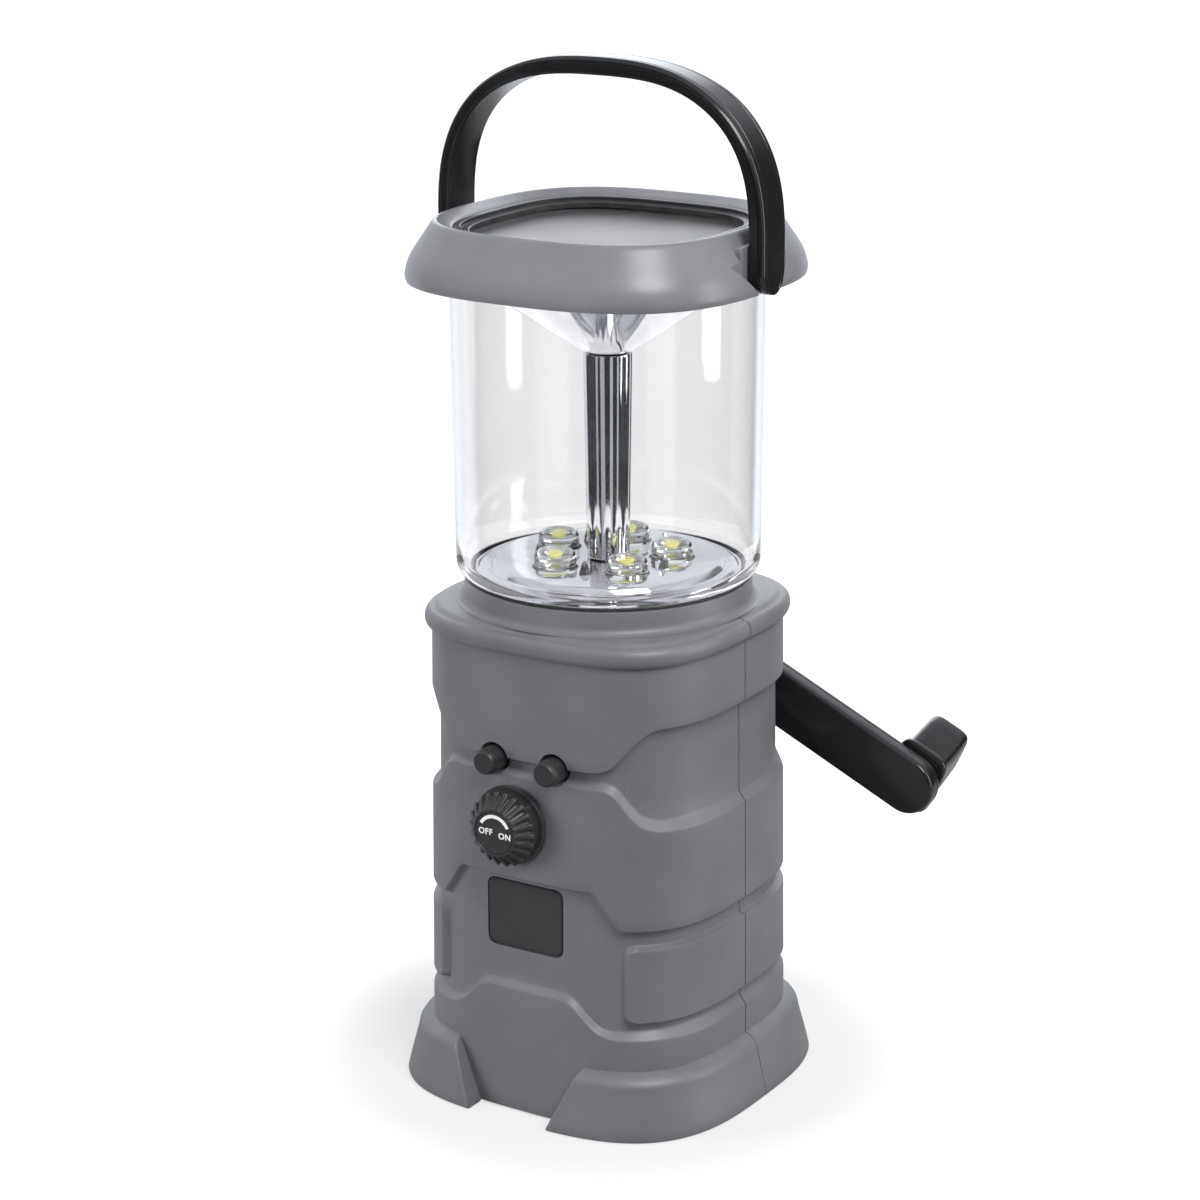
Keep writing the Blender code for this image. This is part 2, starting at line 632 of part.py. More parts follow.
def body_solid():
    """Outer form of the body: masses, recesses, feet, bead and deck, still solid."""
    sections = [(0, body_half(0)), (BODY_TOP, body_half(BODY_TOP))]
    for rise, reach in BEAD_RISE_AND_REACH_SHARES:
        sections.append((BODY_TOP + BEAD_HEIGHT * rise, BODY_HALF_TOP + BEAD_REACH * reach))
    sections.append((DECK_TOP, DECK_HALF))
    body = stack("body", sections, BODY_SQUARENESS, BODY_SIDES)
    upper = stepped_edge(UPPER_EDGE_FRONT, UPPER_EDGE_SIDE, UPPER_STEP_FROM, UPPER_STEP_TO)
    middle_top = stepped_edge(MIDDLE_TOP_FRONT, MIDDLE_TOP_SIDE, MIDDLE_TOP_FROM, MIDDLE_TOP_TO)
    middle_low = stepped_edge(MIDDLE_LOW_FRONT, MIDDLE_LOW_SIDE, MIDDLE_LOW_FROM, MIDDLE_LOW_TO)
    lower_top = stepped_edge(LOWER_TOP_FRONT, LOWER_TOP_SIDE, LOWER_TOP_FROM, LOWER_TOP_TO)
    band = skin_cutter("band", upper + list(reversed(middle_top)))
    waist = skin_cutter("waist", middle_low + list(reversed(lower_top)))
    reach = BODY_HALF_FOOT + FOOT_REACH + OVERRUN
    for side in (1, -1):
        waist = cut(waist, along_depth("panel", panel_outline(side), -2 * reach, 2 * reach))
    return join(cut(body, band, waist), feet_solid())


def inner_half(height):
    """Half width of the hollow inside the shells at a height."""
    return body_half(height) - RELIEF_DEPTH - SHELL_WALL


def hollow():
    """The space inside the shells, open at the bottom."""
    ceiling = DECK_TOP - DECK_THICKNESS
    return stack("hollow", [(-OVERRUN, inner_half(-OVERRUN)), (ceiling, inner_half(ceiling))],
                 BODY_SQUARENESS, BODY_SIDES)


def front_wall_inside(x, height):
    """Depth (Y) of the front wall's inner side at a place."""
    return -depth_on_body(x, inner_half(height))


def port_face():
    """Depth of the skin round the port cover, at the cover's middle."""
    return -(body_half(PORT_LOW + PORT_TALL / 2.0) - RELIEF_DEPTH)


def port_floor():
    """Depth of the floor of the port cover's recess."""
    return port_face() + PORT_COVER_THICKNESS + GAP


def board_face():
    """Depth of the main board's front face."""
    return -(inner_half(DIAL_HEIGHT)) + BOARD_SETBACK - BOARD_THICKNESS - 2 * GAP


def case_post_places():
    """X and Z of the four posts that the case screws run through, under and over the gear frame."""
    low, top = gear_frame_span()
    apart = CASE_POST_CLEARANCE + POST_RADIUS
    return [(side * (inner_half(height) - CASE_POST_INSET), height)
            for height in (low - apart, top + apart) for side in (-1, 1)]


def inner_corner():
    """How far the hollow's corners lie from both middle planes, at the bottom."""
    return inner_half(0) * 2.0 ** (-1.0 / BODY_SQUARENESS)


def base_post_places():
    """X and Y of the four posts that the base screws run into."""
    post_place = inner_corner() - BASE_POST_INSET
    return [(x * post_place, y * post_place) for y in (-1, 1) for x in (-1, 1)]


def posts(side):
    """Screw posts of one shell: -1 is the front shell, +1 the rear shell."""
    made = []
    for x, z in case_post_places():
        wall = depth_on_body(x, inner_half(z)) + SHELL_WALL / 2.0
        length = wall if side > 0 else CASE_POST_FRONT_LENGTH
        post = cylinder("post", POST_RADIUS, 0, length, SMALL_SIDES)
        made.append(place(post, TO_BACK if side > 0 else TO_FRONT, (x, 0, z)))
        if side < 0:
            web_reach = depth_on_body(0, inner_half(z)) + SHELL_WALL / 2.0
            outer = web_reach if x > 0 else -web_reach
            low = (min(x, outer), -CASE_POST_FRONT_LENGTH, z - SHELL_WALL / 2.0)
            high = (max(x, outer), 0, z + SHELL_WALL / 2.0)
            made.append(box("web", low, high))
    for x, y in base_post_places():
        if y * side > 0:
            low = BASE_PLATE_THICKNESS + GAP
            post = cylinder("post", POST_RADIUS, low, low + BASE_POST_HEIGHT, SMALL_SIDES)
            made.append(place(post, UPRIGHT, (x, y, 0)))
            bridge_reach = inner_corner() + SHELL_WALL / 2.0
            reach_x, reach_y = math.copysign(bridge_reach, x), math.copysign(bridge_reach, y)
            made.append(box("bridge", (min(x, reach_x), min(y, reach_y), low),
                            (max(x, reach_x), max(y, reach_y), low + BASE_POST_HEIGHT)))
    return made


def screw_holes(side):
    """Cutters for the screws in one shell."""
    made = []
    clear = SCREW_RADIUS + GAP
    for x, z in case_post_places():
        reach = BODY_HALF_FOOT + OVERRUN
        if side > 0:
            shank = cylinder("hole", clear, -OVERRUN, reach, SMALL_SIDES)
            made.append(place(shank, TO_BACK, (x, 0, z)))
            head = cylinder("hole", SCREW_HEAD_RADIUS + GAP, case_head_seat(x, z), reach, SMALL_SIDES)
            made.append(place(head, TO_BACK, (x, 0, z)))
        else:
            depth = CASE_SCREW_BITE + GAP
            shank = cylinder("hole", clear, -OVERRUN, depth, SMALL_SIDES)
            made.append(place(shank, TO_FRONT, (x, 0, z)))
    for x, y in base_post_places():
        if y * side > 0:
            top = BASE_SCREW_LENGTH + GAP
            made.append(place(cylinder("hole", clear, 0, top, SMALL_SIDES), UPRIGHT, (x, y, 0)))
    return made


def case_head_seat(x, z):
    """Depth behind the middle plane at which a case screw's head sits."""
    return depth_on_body(x, body_half(z)) - CASE_HEAD_DEPTH


def half_space(side):
    """Block that takes away the half of the body that a shell leaves out."""
    reach = BODY_HALF_FOOT + FOOT_REACH + OVERRUN
    near, far = sorted((side * SEAM_GAP / 2.0, -side * 2.0 * reach))
    return box("half", (-2 * reach, near, -OVERRUN), (2 * reach, far, DECK_TOP + OVERRUN))


def make_shells(finish):
    """Front and rear half of the body, split at the middle plane."""
    solid = cut(body_solid(), hollow(),
                cylinder("wires", WIRE_HOLE_RADIUS, DECK_TOP - 2 * DECK_THICKNESS, DECK_TOP + OVERRUN))
    shells = {}
    for name, side in (("front_shell", -1), ("rear_shell", 1)):
        shell = solid.copy()
        shell.data = solid.data.copy()
        shell.name = name
        bpy.context.scene.collection.objects.link(shell)
        shells[name] = shell
        cut(shell, half_space(side))
    bpy.data.objects.remove(solid)
    front, rear = shells["front_shell"], shells["rear_shell"]

    join(front, *trimmed(posts(-1), -1))
    join(front, port_frame())
    cut(front, *screw_holes(-1), *front_openings())
    join(rear, *trimmed(posts(1), 1))
    join(rear, crank_boss(), *gear_frame_seats())
    cut(rear, *screw_holes(1), crank_opening())
    for shell in (front, rear):
        dress(shell, finish["grey"])


def trimmed(solids, side):
    """Posts cut back from the seam by half its gap."""
    return [cut(solid, half_space(side)) for solid in solids]


def port_frame():
    """Thickening of the front wall behind the port cover's recess."""
    half = PORT_WIDTH / 2.0 + PORT_FRAME_MARGIN
    back = port_floor() + PORT_FLOOR_THICKNESS
    low = PORT_LOW - PORT_FRAME_MARGIN
    high = PORT_LOW + PORT_TALL + PORT_FRAME_MARGIN
    return box("frame", (PORT_X - half, port_floor() - PORT_COVER_THICKNESS / 2.0, low),
               (PORT_X + half, back, high))


def front_openings():
    """Cutters for the spindle, the buttons, the port recess and the sockets."""
    reach = BODY_HALF_FOOT + OVERRUN
    inside = reach / 2.0
    tools = [place(cylinder("hole", SPINDLE_RADIUS + GAP, inside, reach, ROUND_SIDES), TO_FRONT,
                   (DIAL_X, 0, DIAL_HEIGHT))]
    for side in (-1, 1):
        hole = cylinder("hole", BUTTON_RADIUS + GAP, inside, reach, ROUND_SIDES)
        tools.append(place(hole, TO_FRONT, (side * BUTTON_PLACE, 0, BUTTON_HEIGHT)))
    half = PORT_WIDTH / 2.0 + GAP
    recess = rounded_box_outline(PORT_X - half, PORT_LOW - GAP, PORT_X + half, PORT_LOW + PORT_TALL + GAP,
                                 PORT_CORNER + GAP)
    tools.append(along_depth("recess", recess, -reach, port_floor()))
    middle = PORT_LOW + PORT_TALL / 2.0
    back = port_floor() + PORT_FLOOR_THICKNESS + OVERRUN
    front = port_floor() - GAP
    half_usb, half_tall = USB_WIDTH / 2.0, USB_TALL / 2.0
    tools.append(box("window", (USB_PLACE - half_usb, front, middle - half_tall),
                     (USB_PLACE + half_usb, back, middle + half_tall)))
    jack = cylinder("hole", CHARGE_HOLE_RADIUS + 2 * GAP, -back, -front, SMALL_SIDES)
    tools.append(place(jack, TO_FRONT, (JACK_PLACE, 0, middle)))
    return tools


# Bottom plate and screws

def make_screw(name, length, seat, turn, spot, finish):
    """Screw built along Z with its head's seat at a height, then turned and moved."""
    top = seat + SCREW_HEAD_HEIGHT
    profile = [(0, seat - length), (SCREW_RADIUS, seat - length), (SCREW_RADIUS, seat),
               (SCREW_HEAD_RADIUS, seat), (SCREW_HEAD_RADIUS, top), (0, top)]
    return dress(place(turned(name, profile, SMALL_SIDES), turn, spot), finish["steel"])


def make_base(finish):
    """Flat bottom plate with four countersunk screws."""
    plate = stack("base_plate", [(0, inner_half(0) - GAP),
                                 (BASE_PLATE_THICKNESS, inner_half(BASE_PLATE_THICKNESS) - GAP)],
                  BODY_SQUARENESS, BODY_SIDES)
    seat = SCREW_HEAD_HEIGHT + GAP
    for index, (x, y) in enumerate(base_post_places()):
        past = BASE_PLATE_THICKNESS + OVERRUN
        hole = cylinder("hole", SCREW_RADIUS + GAP, -OVERRUN, past, SMALL_SIDES)
        sink = cylinder("sink", SCREW_HEAD_RADIUS + GAP, -OVERRUN, seat, SMALL_SIDES)
        cut(plate, place(hole, UPRIGHT, (x, y, 0)), place(sink, UPRIGHT, (x, y, 0)))
        make_screw(f"base_screw_{index + 1}", BASE_SCREW_LENGTH - seat - GAP, GAP - seat, OVER,
                   (x, y, 0), finish)
    dress(plate, finish["grey"])
    for index, (x, z) in enumerate(case_post_places()):
        seat = case_head_seat(x, z) + GAP
        make_screw(f"case_screw_{index + 1}", seat + CASE_SCREW_BITE, seat, TO_BACK, (x, 0, z), finish)


# Lamp house

def tray_top():
    """Height of the tray's mirror plateau."""
    return GLOBE_BOTTOM + TRAY_RIM_THICKNESS + TRAY_PLATEAU_RISE


def lamp_angle(index):
    """Direction of a lamp, counted round the tray."""
    return LAMP_FIRST_ANGLE + 2.0 * math.pi * index / LAMP_COUNT


def make_globe(finish):
    """Clear globe with a rounded heel, on a collar and a gasket."""
    inner = COLLAR_RADIUS - COLLAR_WALL
    dress(ring("lamp_collar", COLLAR_RADIUS, inner, DECK_TOP + GAP, COLLAR_TOP, GLOBE_SIDES),
          finish["grey"])
    low = COLLAR_TOP + GAP
    dress(ring("globe_gasket", COLLAR_RADIUS - GAP, inner + GAP, low, low + GASKET_THICKNESS, GLOBE_SIDES),
          finish["rubber"])
    heel = GLOBE_FOOT_RADIUS + (GLOBE_BOTTOM_RADIUS - GLOBE_FOOT_RADIUS) * GLOBE_HEEL_OUT_SHARE
    outside = [
        (GLOBE_FOOT_RADIUS, GLOBE_BOTTOM),
        (heel, GLOBE_BOTTOM + GLOBE_HEEL * GLOBE_HEEL_UP_SHARE),
        (GLOBE_BOTTOM_RADIUS, GLOBE_BOTTOM + GLOBE_HEEL),
        (GLOBE_TOP_RADIUS, GLOBE_TOP),
    ]
    inside = [(radius - GLOBE_WALL, height) for radius, height in reversed(outside)]
    dress(turned("globe", outside + inside, GLOBE_SIDES), finish["clear"])


def make_tray(finish):
    """Chromed tray with its rings and small cones, the lamps and their board."""
    low, top = GLOBE_BOTTOM, tray_top()
    rim_top = low + TRAY_RIM_THICKNESS
    step = TRAY_RIDGE_STEP
    under = top - TRAY_PLATEAU_THICKNESS
    ledge = rim_top + TRAY_PLATEAU_RISE / 2.0
    profile = [
        (0, under),
        (TRAY_PLATEAU_RADIUS - step, under),
        (TRAY_PLATEAU_RADIUS, low),
        (TRAY_RIM_RADIUS, low),
        (TRAY_RIM_RADIUS, rim_top),
        (TRAY_PLATEAU_RADIUS + 3 * step, rim_top),
        (TRAY_PLATEAU_RADIUS + 2 * step, ledge),
        (TRAY_PLATEAU_RADIUS + step, ledge - TRAY_RIDGE_RISE),
        (TRAY_PLATEAU_RADIUS, top),
        (0, top),
    ]
    tray = turned("reflector_tray", profile, GLOBE_SIDES)
    lamp_ring = TRAY_PLATEAU_RADIUS * LAMP_RING_SHARE
    cone_ring = TRAY_PLATEAU_RADIUS * TRAY_CONE_RING_SHARE
    board_top = under - GAP
    for index in range(LAMP_COUNT):
        angle = lamp_angle(index)
        spot = (lamp_ring * math.cos(angle), lamp_ring * math.sin(angle), 0)
        hole = cylinder("hole", LAMP_FLANGE_RADIUS + GAP, low - OVERRUN, top + OVERRUN, LAMP_SIDES)
        cut(tray, place(hole, UPRIGHT, spot))
        base = board_top + GAP
        crown = base + LAMP_HEIGHT
        lamp = [(0, base), (LAMP_FLANGE_RADIUS, base), (LAMP_FLANGE_RADIUS, base + LAMP_FLANGE_HEIGHT),
                (LAMP_RADIUS, base + LAMP_FLANGE_HEIGHT), (LAMP_RADIUS, crown - LAMP_ROUND),
                (LAMP_RADIUS - LAMP_ROUND, crown), (0, crown)]
        dress(place(turned(f"lamp_{index + 1}", lamp, LAMP_SIDES), UPRIGHT, spot), finish["lamp"])
        angle += math.pi / LAMP_COUNT
        spot = (cone_ring * math.cos(angle), cone_ring * math.sin(angle), top)
        sunk = -TRAY_PLATEAU_THICKNESS / 2.0
        cone = turned("cone", [(0, sunk), (TRAY_CONE_RADIUS, sunk), (TRAY_CONE_RADIUS, 0),
                               (0, TRAY_CONE_HEIGHT)], TRAY_CONE_SIDES)
        join(tray, place(cone, UPRIGHT, spot))
    dress(tray, finish["chrome"])
    board = cylinder("lamp_board", TRAY_PLATEAU_RADIUS - TRAY_RIDGE_STEP,
                     board_top - LAMP_BOARD_THICKNESS, board_top)
    dress(board, finish["white"])


def make_reflector(finish):
    """Fluted chrome column, and the inverted cone between it and the cap."""
    low = tray_top() + GAP
    rings = []
    for height, radius in ((low, COLUMN_BOTTOM_RADIUS), (low + COLUMN_HEIGHT, COLUMN_TOP_RADIUS)):
        points = []
        for index in range(2 * COLUMN_FLUTES):
            angle = math.pi * index / COLUMN_FLUTES
            reach = radius - (index % 2) * COLUMN_FLUTE_DEPTH
            points.append((reach * math.cos(angle), reach * math.sin(angle), height))
        rings.append(points)
    dress(loft("reflector_column", rings), finish["chrome"])
    foot = low + COLUMN_HEIGHT + GAP
    rim_top = plate_bottom() - GAP
    rim_low = rim_top - CONE_RIM_HEIGHT
    inside = CONE_RADIUS - CONE_THICKNESS
    profile = [(0, foot), (COLUMN_TOP_RADIUS, foot), (CONE_RADIUS, rim_low), (CONE_RADIUS, rim_top),
               (inside, rim_top), (inside, rim_low + CONE_THICKNESS / 2.0),
               (COLUMN_TOP_RADIUS - CONE_THICKNESS, foot + CONE_THICKNESS), (0, foot + CONE_THICKNESS)]
    dress(turned("reflector_cone", profile, GLOBE_SIDES), finish["chrome"])


# Cap and solar panel

def plate_bottom():
    """Height of the plate inside the cap, over the globe's rim."""
    return GLOBE_TOP + GAP


def swing_outline():
    """What a handle leg sweeps in Y and Z between its limits, with room round it."""
    reach = HANDLE_WIDTH / 2.0 + SWING_ROOM
    length = (CAP_RIM_TOP - CAP_BOTTOM) / math.cos(HANDLE_SWING)
    points = []
    steps = SMALL_SIDES // 2
    for index in range(steps + 1):
        angle = -math.pi + HANDLE_SWING + (math.pi - 2.0 * HANDLE_SWING) * index / steps
        points.append((reach * math.cos(angle), HANDLE_PIVOT_HEIGHT + reach * math.sin(angle)))
    side, up = length * math.sin(HANDLE_SWING), length * math.cos(HANDLE_SWING)
    points.append((points[-1][0] + side, points[-1][1] + up))
    points.append((points[0][0] - side, points[0][1] + up))
    return points


def make_cap(finish):
    """Flared cap with a pad and a pocket on each side for the handle, and its plate."""
    lip_top = CAP_BOTTOM + CAP_LIP_HEIGHT
    sections = [(CAP_BOTTOM, CAP_LIP_HALF)]
    for rise, inward in CAP_RISE_AND_INWARD_SHARES:
        sections.append((lip_top + (CAP_RIM_TOP - lip_top) * rise,
                         CAP_BULGE_HALF + (CAP_RIM_HALF - CAP_BULGE_HALF) * inward))
    cap = stack("top_cap", sections, CAP_SQUARENESS, CAP_SIDES)
    inner = CAP_RIM_HALF - SHELL_WALL / 2.0
    join(cap, box("pad", (-PAD_FACE, -PAD_HALF_WIDTH, lip_top), (PAD_FACE, PAD_HALF_WIDTH, PAD_TOP)))
    trim = CAP_BULGE_HALF + OVERRUN
    for side in (-1, 1):
        near, far = sorted((side * PAD_FACE, side * trim))
        cut(cap, along_width("pocket", swing_outline(), near, far))
    cavity = stack("cavity", [(CAP_BOTTOM - OVERRUN, CAP_CAVITY_HALF), (CAP_CAVITY_TOP, CAP_CAVITY_HALF)],
                   CAP_SQUARENESS, CAP_SIDES)
    opening = stack("opening", [(SOLAR_LEDGE_TOP, SOLAR_OPENING_HALF),
                                (CAP_RIM_TOP + OVERRUN, SOLAR_OPENING_HALF)], SOLAR_SQUARENESS, CAP_SIDES)
    well = stack("well", [(CAP_CAVITY_TOP - OVERRUN, SOLAR_LEDGE_HALF),
                          (SOLAR_LEDGE_TOP + OVERRUN, SOLAR_LEDGE_HALF)], SOLAR_SQUARENESS, CAP_SIDES)
    dish = stack("dish", [(CAP_RIM_TOP - BEZEL_BELOW_RIM, SOLAR_OPENING_HALF),
                          (CAP_RIM_TOP + GAP, inner)], CAP_SQUARENESS, CAP_SIDES)
    cut(cap, cavity, opening, well, dish)
    for side in (-1, 1):
        hole = cylinder("hole", PIN_RADIUS + GAP, CAP_RIM_HALF - OVERRUN, trim, SMALL_SIDES)
        cut(cap, place(hole, TO_RIGHT if side > 0 else TO_LEFT, (0, 0, HANDLE_PIVOT_HEIGHT)))
    dress(cap, finish["cap_grey"])
    low = plate_bottom()
    plate = stack("cap_plate", [(low, CAP_CAVITY_HALF - GAP), (low + PLATE_THICKNESS, CAP_CAVITY_HALF - GAP)],
                  CAP_SQUARENESS, CAP_SIDES)
    dress(plate, finish["white"])


def make_solar(finish):
    """Solar cells on the cap's ledge, a clear window over them and a stepped bezel."""
    half = SOLAR_OPENING_HALF - GAP
    low = SOLAR_LEDGE_TOP + GAP
    top = low + SOLAR_PANEL_THICKNESS
    dress(stack("solar_panel", [(low, half), (top, half)], SOLAR_SQUARENESS, CAP_SIDES), finish["solar"])
    low = top + GAP
    top = low + SOLAR_WINDOW_THICKNESS
    dress(stack("solar_window", [(low, half), (top, half)], SOLAR_SQUARENESS, CAP_SIDES), finish["clear"])
    low = top + GAP
    top = CAP_RIM_TOP - BEZEL_BELOW_RIM
    bezel = stack("solar_bezel", [(low, half), (top, half)], SOLAR_SQUARENESS, CAP_SIDES)
    floor = top - BEZEL_STEP_DEPTH
    cut(bezel,
        stack("step", [(floor, BEZEL_STEP_HALF), (top + OVERRUN, BEZEL_STEP_HALF)],
              SOLAR_SQUARENESS, CAP_SIDES),
        stack("view", [(low - OVERRUN, BEZEL_INNER_HALF), (top + OVERRUN, BEZEL_INNER_HALF)],
              SOLAR_SQUARENESS, CAP_SIDES))
    dress(bezel, finish["black"])


# Carrying handle

def arch_curve(half, top):
    """Right half of an arch in X and Z, from its crown down to where its leg starts."""
    points = []
    for index in range(HANDLE_POINTS + 1):
        angle = math.radians(90.0) * (1.0 - index / HANDLE_POINTS)
        x = half * max(math.cos(angle), 0.0) ** (2.0 / HANDLE_ROUNDNESS)
        rise = (top - HANDLE_SPRING_HEIGHT) * max(math.sin(angle), 0.0) ** (2.0 / HANDLE_ROUNDNESS)
        points.append((x, HANDLE_SPRING_HEIGHT + rise))
    return points


def make_handle(finish):
    """Arched handle of flat section with round leg ends, and its two pivot pins."""
    inner = PAD_FACE + GAP
    outer = inner + HANDLE_THICKNESS
    end = HANDLE_WIDTH / 2.0
    outside = arch_curve(outer, HANDLE_TOP) + [(outer, HANDLE_PIVOT_HEIGHT)]
    inside = arch_curve(inner, HANDLE_TOP - HANDLE_THICKNESS) + [(inner, HANDLE_PIVOT_HEIGHT)]
    rings = []
    for side in (-1, 1):
        ribs = list(zip(outside, inside))
        for (x_out, z_out), (x_in, z_in) in (reversed(ribs) if side < 0 else ribs[1:]):
            rings.append([(side * x_out, -end, z_out), (side * x_out, end, z_out),
                          (side * x_in, end, z_in), (side * x_in, -end, z_in)])
    handle = loft("carry_handle", rings)
    reach = outer + OVERRUN
    sink = PIN_HEAD_HEIGHT + GAP
    for turn in (TO_RIGHT, TO_LEFT):
        tip = cylinder("tip", end, inner, outer, ROUND_SIDES)
        join(handle, place(tip, turn, (0, 0, HANDLE_PIVOT_HEIGHT)))
    for name, turn in (("right_handle_pin", TO_RIGHT), ("left_handle_pin", TO_LEFT)):
        spot = (0, 0, HANDLE_PIVOT_HEIGHT)
        hole = cylinder("hole", PIN_RADIUS + GAP, inner - OVERRUN, reach, SMALL_SIDES)
        bore = cylinder("bore", PIN_HEAD_RADIUS + GAP, outer - sink, reach, SMALL_SIDES)
        cut(handle, place(hole, turn, spot), place(bore, turn, spot))
        seat = outer - PIN_HEAD_HEIGHT
        start = PAD_FACE - PIN_INSIDE_LENGTH
        profile = [(0, start), (PIN_RADIUS, start), (PIN_RADIUS, seat), (PIN_HEAD_RADIUS, seat),
                   (PIN_HEAD_RADIUS, outer), (0, outer)]
        dress(place(turned(name, profile, SMALL_SIDES), turn, spot), finish["steel"])
    dress(handle, finish["gloss"], (0, 0, HANDLE_PIVOT_HEIGHT))


# Dial, buttons, port cover and board

def make_dial(finish):
    """Toothed dial with its spindle, and the control that it turns."""
    spot = (DIAL_X, 0, DIAL_HEIGHT)
    back = body_half(DIAL_HEIGHT) + GAP
    flange = back + DIAL_FLANGE_THICKNESS
    front = back + DIAL_DEPTH
    tip = front - DIAL_CHAMFER
    face = DIAL_FACE_RADIUS - DIAL_CHAMFER
    sides = DIAL_POINTS_PER_TOOTH * DIAL_TEETH
    rings = []
    for height, tooth, root in ((back, DIAL_FLANGE_RADIUS, DIAL_FLANGE_RADIUS),
                                (flange, DIAL_FLANGE_RADIUS, DIAL_FLANGE_RADIUS),
                                (flange, DIAL_TOOTH_RADIUS, DIAL_ROOT_RADIUS),
                                (tip, DIAL_FACE_RADIUS, face),
                                (front, face, face)):
        points = []
        for index in range(sides):
            angle = 2.0 * math.pi * index / sides
            radius = tooth if index % DIAL_POINTS_PER_TOOTH in (1, 2) else root
            points.append((radius * math.cos(angle), radius * math.sin(angle), height))
        rings.append(points)
    dial = loft("control_dial", rings)
    cut(dial, cylinder("bore", SPINDLE_RADIUS + GAP, back - OVERRUN, back + DIAL_BORE_DEPTH))
    dress(place(dial, TO_FRONT, spot), finish["black"], spot)

    wall = -front_wall_inside(abs(DIAL_X) + CONTROL_RADIUS, DIAL_HEIGHT + CONTROL_RADIUS)
    control_front = wall - GAP
    control_back = -board_face() + GAP
    spindle = cylinder("dial_spindle", SPINDLE_RADIUS, control_front - SPINDLE_IN_CONTROL,
                       back + DIAL_BORE_DEPTH - GAP)
    dress(place(spindle, TO_FRONT, spot), finish["white"], spot)
    control = cylinder("dimmer_control", CONTROL_RADIUS, control_back, control_front)
    cut(control, cylinder("bore", SPINDLE_RADIUS + GAP, control_front - SPINDLE_IN_CONTROL - GAP,
                          control_front + OVERRUN))
    dress(place(control, TO_FRONT, spot), finish["steel"])


def make_buttons(finish):
    """Two push buttons, each held by a flange inside the wall, over a switch."""
    for name, side in (("left", -1), ("right", 1)):
        spot = (side * BUTTON_PLACE, 0, BUTTON_HEIGHT)
        face = body_half(BUTTON_HEIGHT) + BUTTON_PROUD
        wall = -front_wall_inside(BUTTON_PLACE + BUTTON_FLANGE_RADIUS, BUTTON_HEIGHT) - GAP
        back = wall - BUTTON_FLANGE_THICKNESS
        profile = [(0, back), (BUTTON_FLANGE_RADIUS, back), (BUTTON_FLANGE_RADIUS, wall),
                   (BUTTON_RADIUS, wall), (BUTTON_RADIUS, face - BUTTON_CHAMFER),
                   (BUTTON_RADIUS - BUTTON_CHAMFER, face), (0, face)]
        button = turned(f"{name}_button", profile, LAMP_SIDES)
        dress(place(button, TO_FRONT, spot), finish["black"], spot)
        plunger_top = back - BUTTON_TRAVEL - GAP
        body_top = plunger_top - SWITCH_PLUNGER_LENGTH
        low = -board_face() + GAP
        half = SWITCH_SIZE / 2.0
        switch = box(f"{name}_switch", (-half, -half, low), (half, half, body_top))
        join(switch, cylinder("plunger", SWITCH_PLUNGER_RADIUS, (low + body_top) / 2.0, plunger_top,
                              SMALL_SIDES))
        dress(place(switch, TO_FRONT, spot), finish["steel"])


def make_ports(finish):
    """Rubber port cover, and the two sockets on the board behind it."""
    half = PORT_WIDTH / 2.0
    outline = rounded_box_outline(PORT_X - half, PORT_LOW, PORT_X + half, PORT_LOW + PORT_TALL, PORT_CORNER)
    cover = along_depth("port_cover", outline, port_face(), port_face() + PORT_COVER_THICKNESS)
    dress(cover, finish["rubber"], (PORT_X, port_face() - 2 * GAP, PORT_LOW - GAP))
    middle = PORT_LOW + PORT_TALL / 2.0
    front = port_floor() + PORT_FLOOR_THICKNESS + GAP
    back = board_face() - GAP
    half_usb, half_tall = USB_WIDTH / 2.0, USB_TALL / 2.0
    wall = USB_SHELL_THICKNESS
    usb = box("usb_socket", (USB_PLACE - half_usb, front, middle - half_tall),
              (USB_PLACE + half_usb, back, middle + half_tall))
    cut(usb, box("slot", (USB_PLACE - half_usb + wall, front - OVERRUN, middle - half_tall + wall),
                 (USB_PLACE + half_usb - wall, (front + back) / 2.0, middle + half_tall - wall)))
    dress(usb, finish["steel"])
    half = CHARGE_SOCKET_SIZE / 2.0
    jack = box("charge_socket", (JACK_PLACE - half, front, middle - half),
               (JACK_PLACE + half, back, middle + half))
    bore = cylinder("bore", CHARGE_HOLE_RADIUS, -(front + back) / 2.0, OVERRUN - front, SMALL_SIDES)
    cut(jack, place(bore, TO_FRONT, (JACK_PLACE, 0, middle)))
    dress(jack, finish["black"])


def make_board(finish):
    """Main board that carries the control, the switches and the sockets."""
    board = box("main_board", (-BOARD_HALF_WIDTH, board_face(), BOARD_LOW),
                (BOARD_HALF_WIDTH, board_face() + BOARD_THICKNESS, BOARD_TOP))
    dress(board, finish["board"])


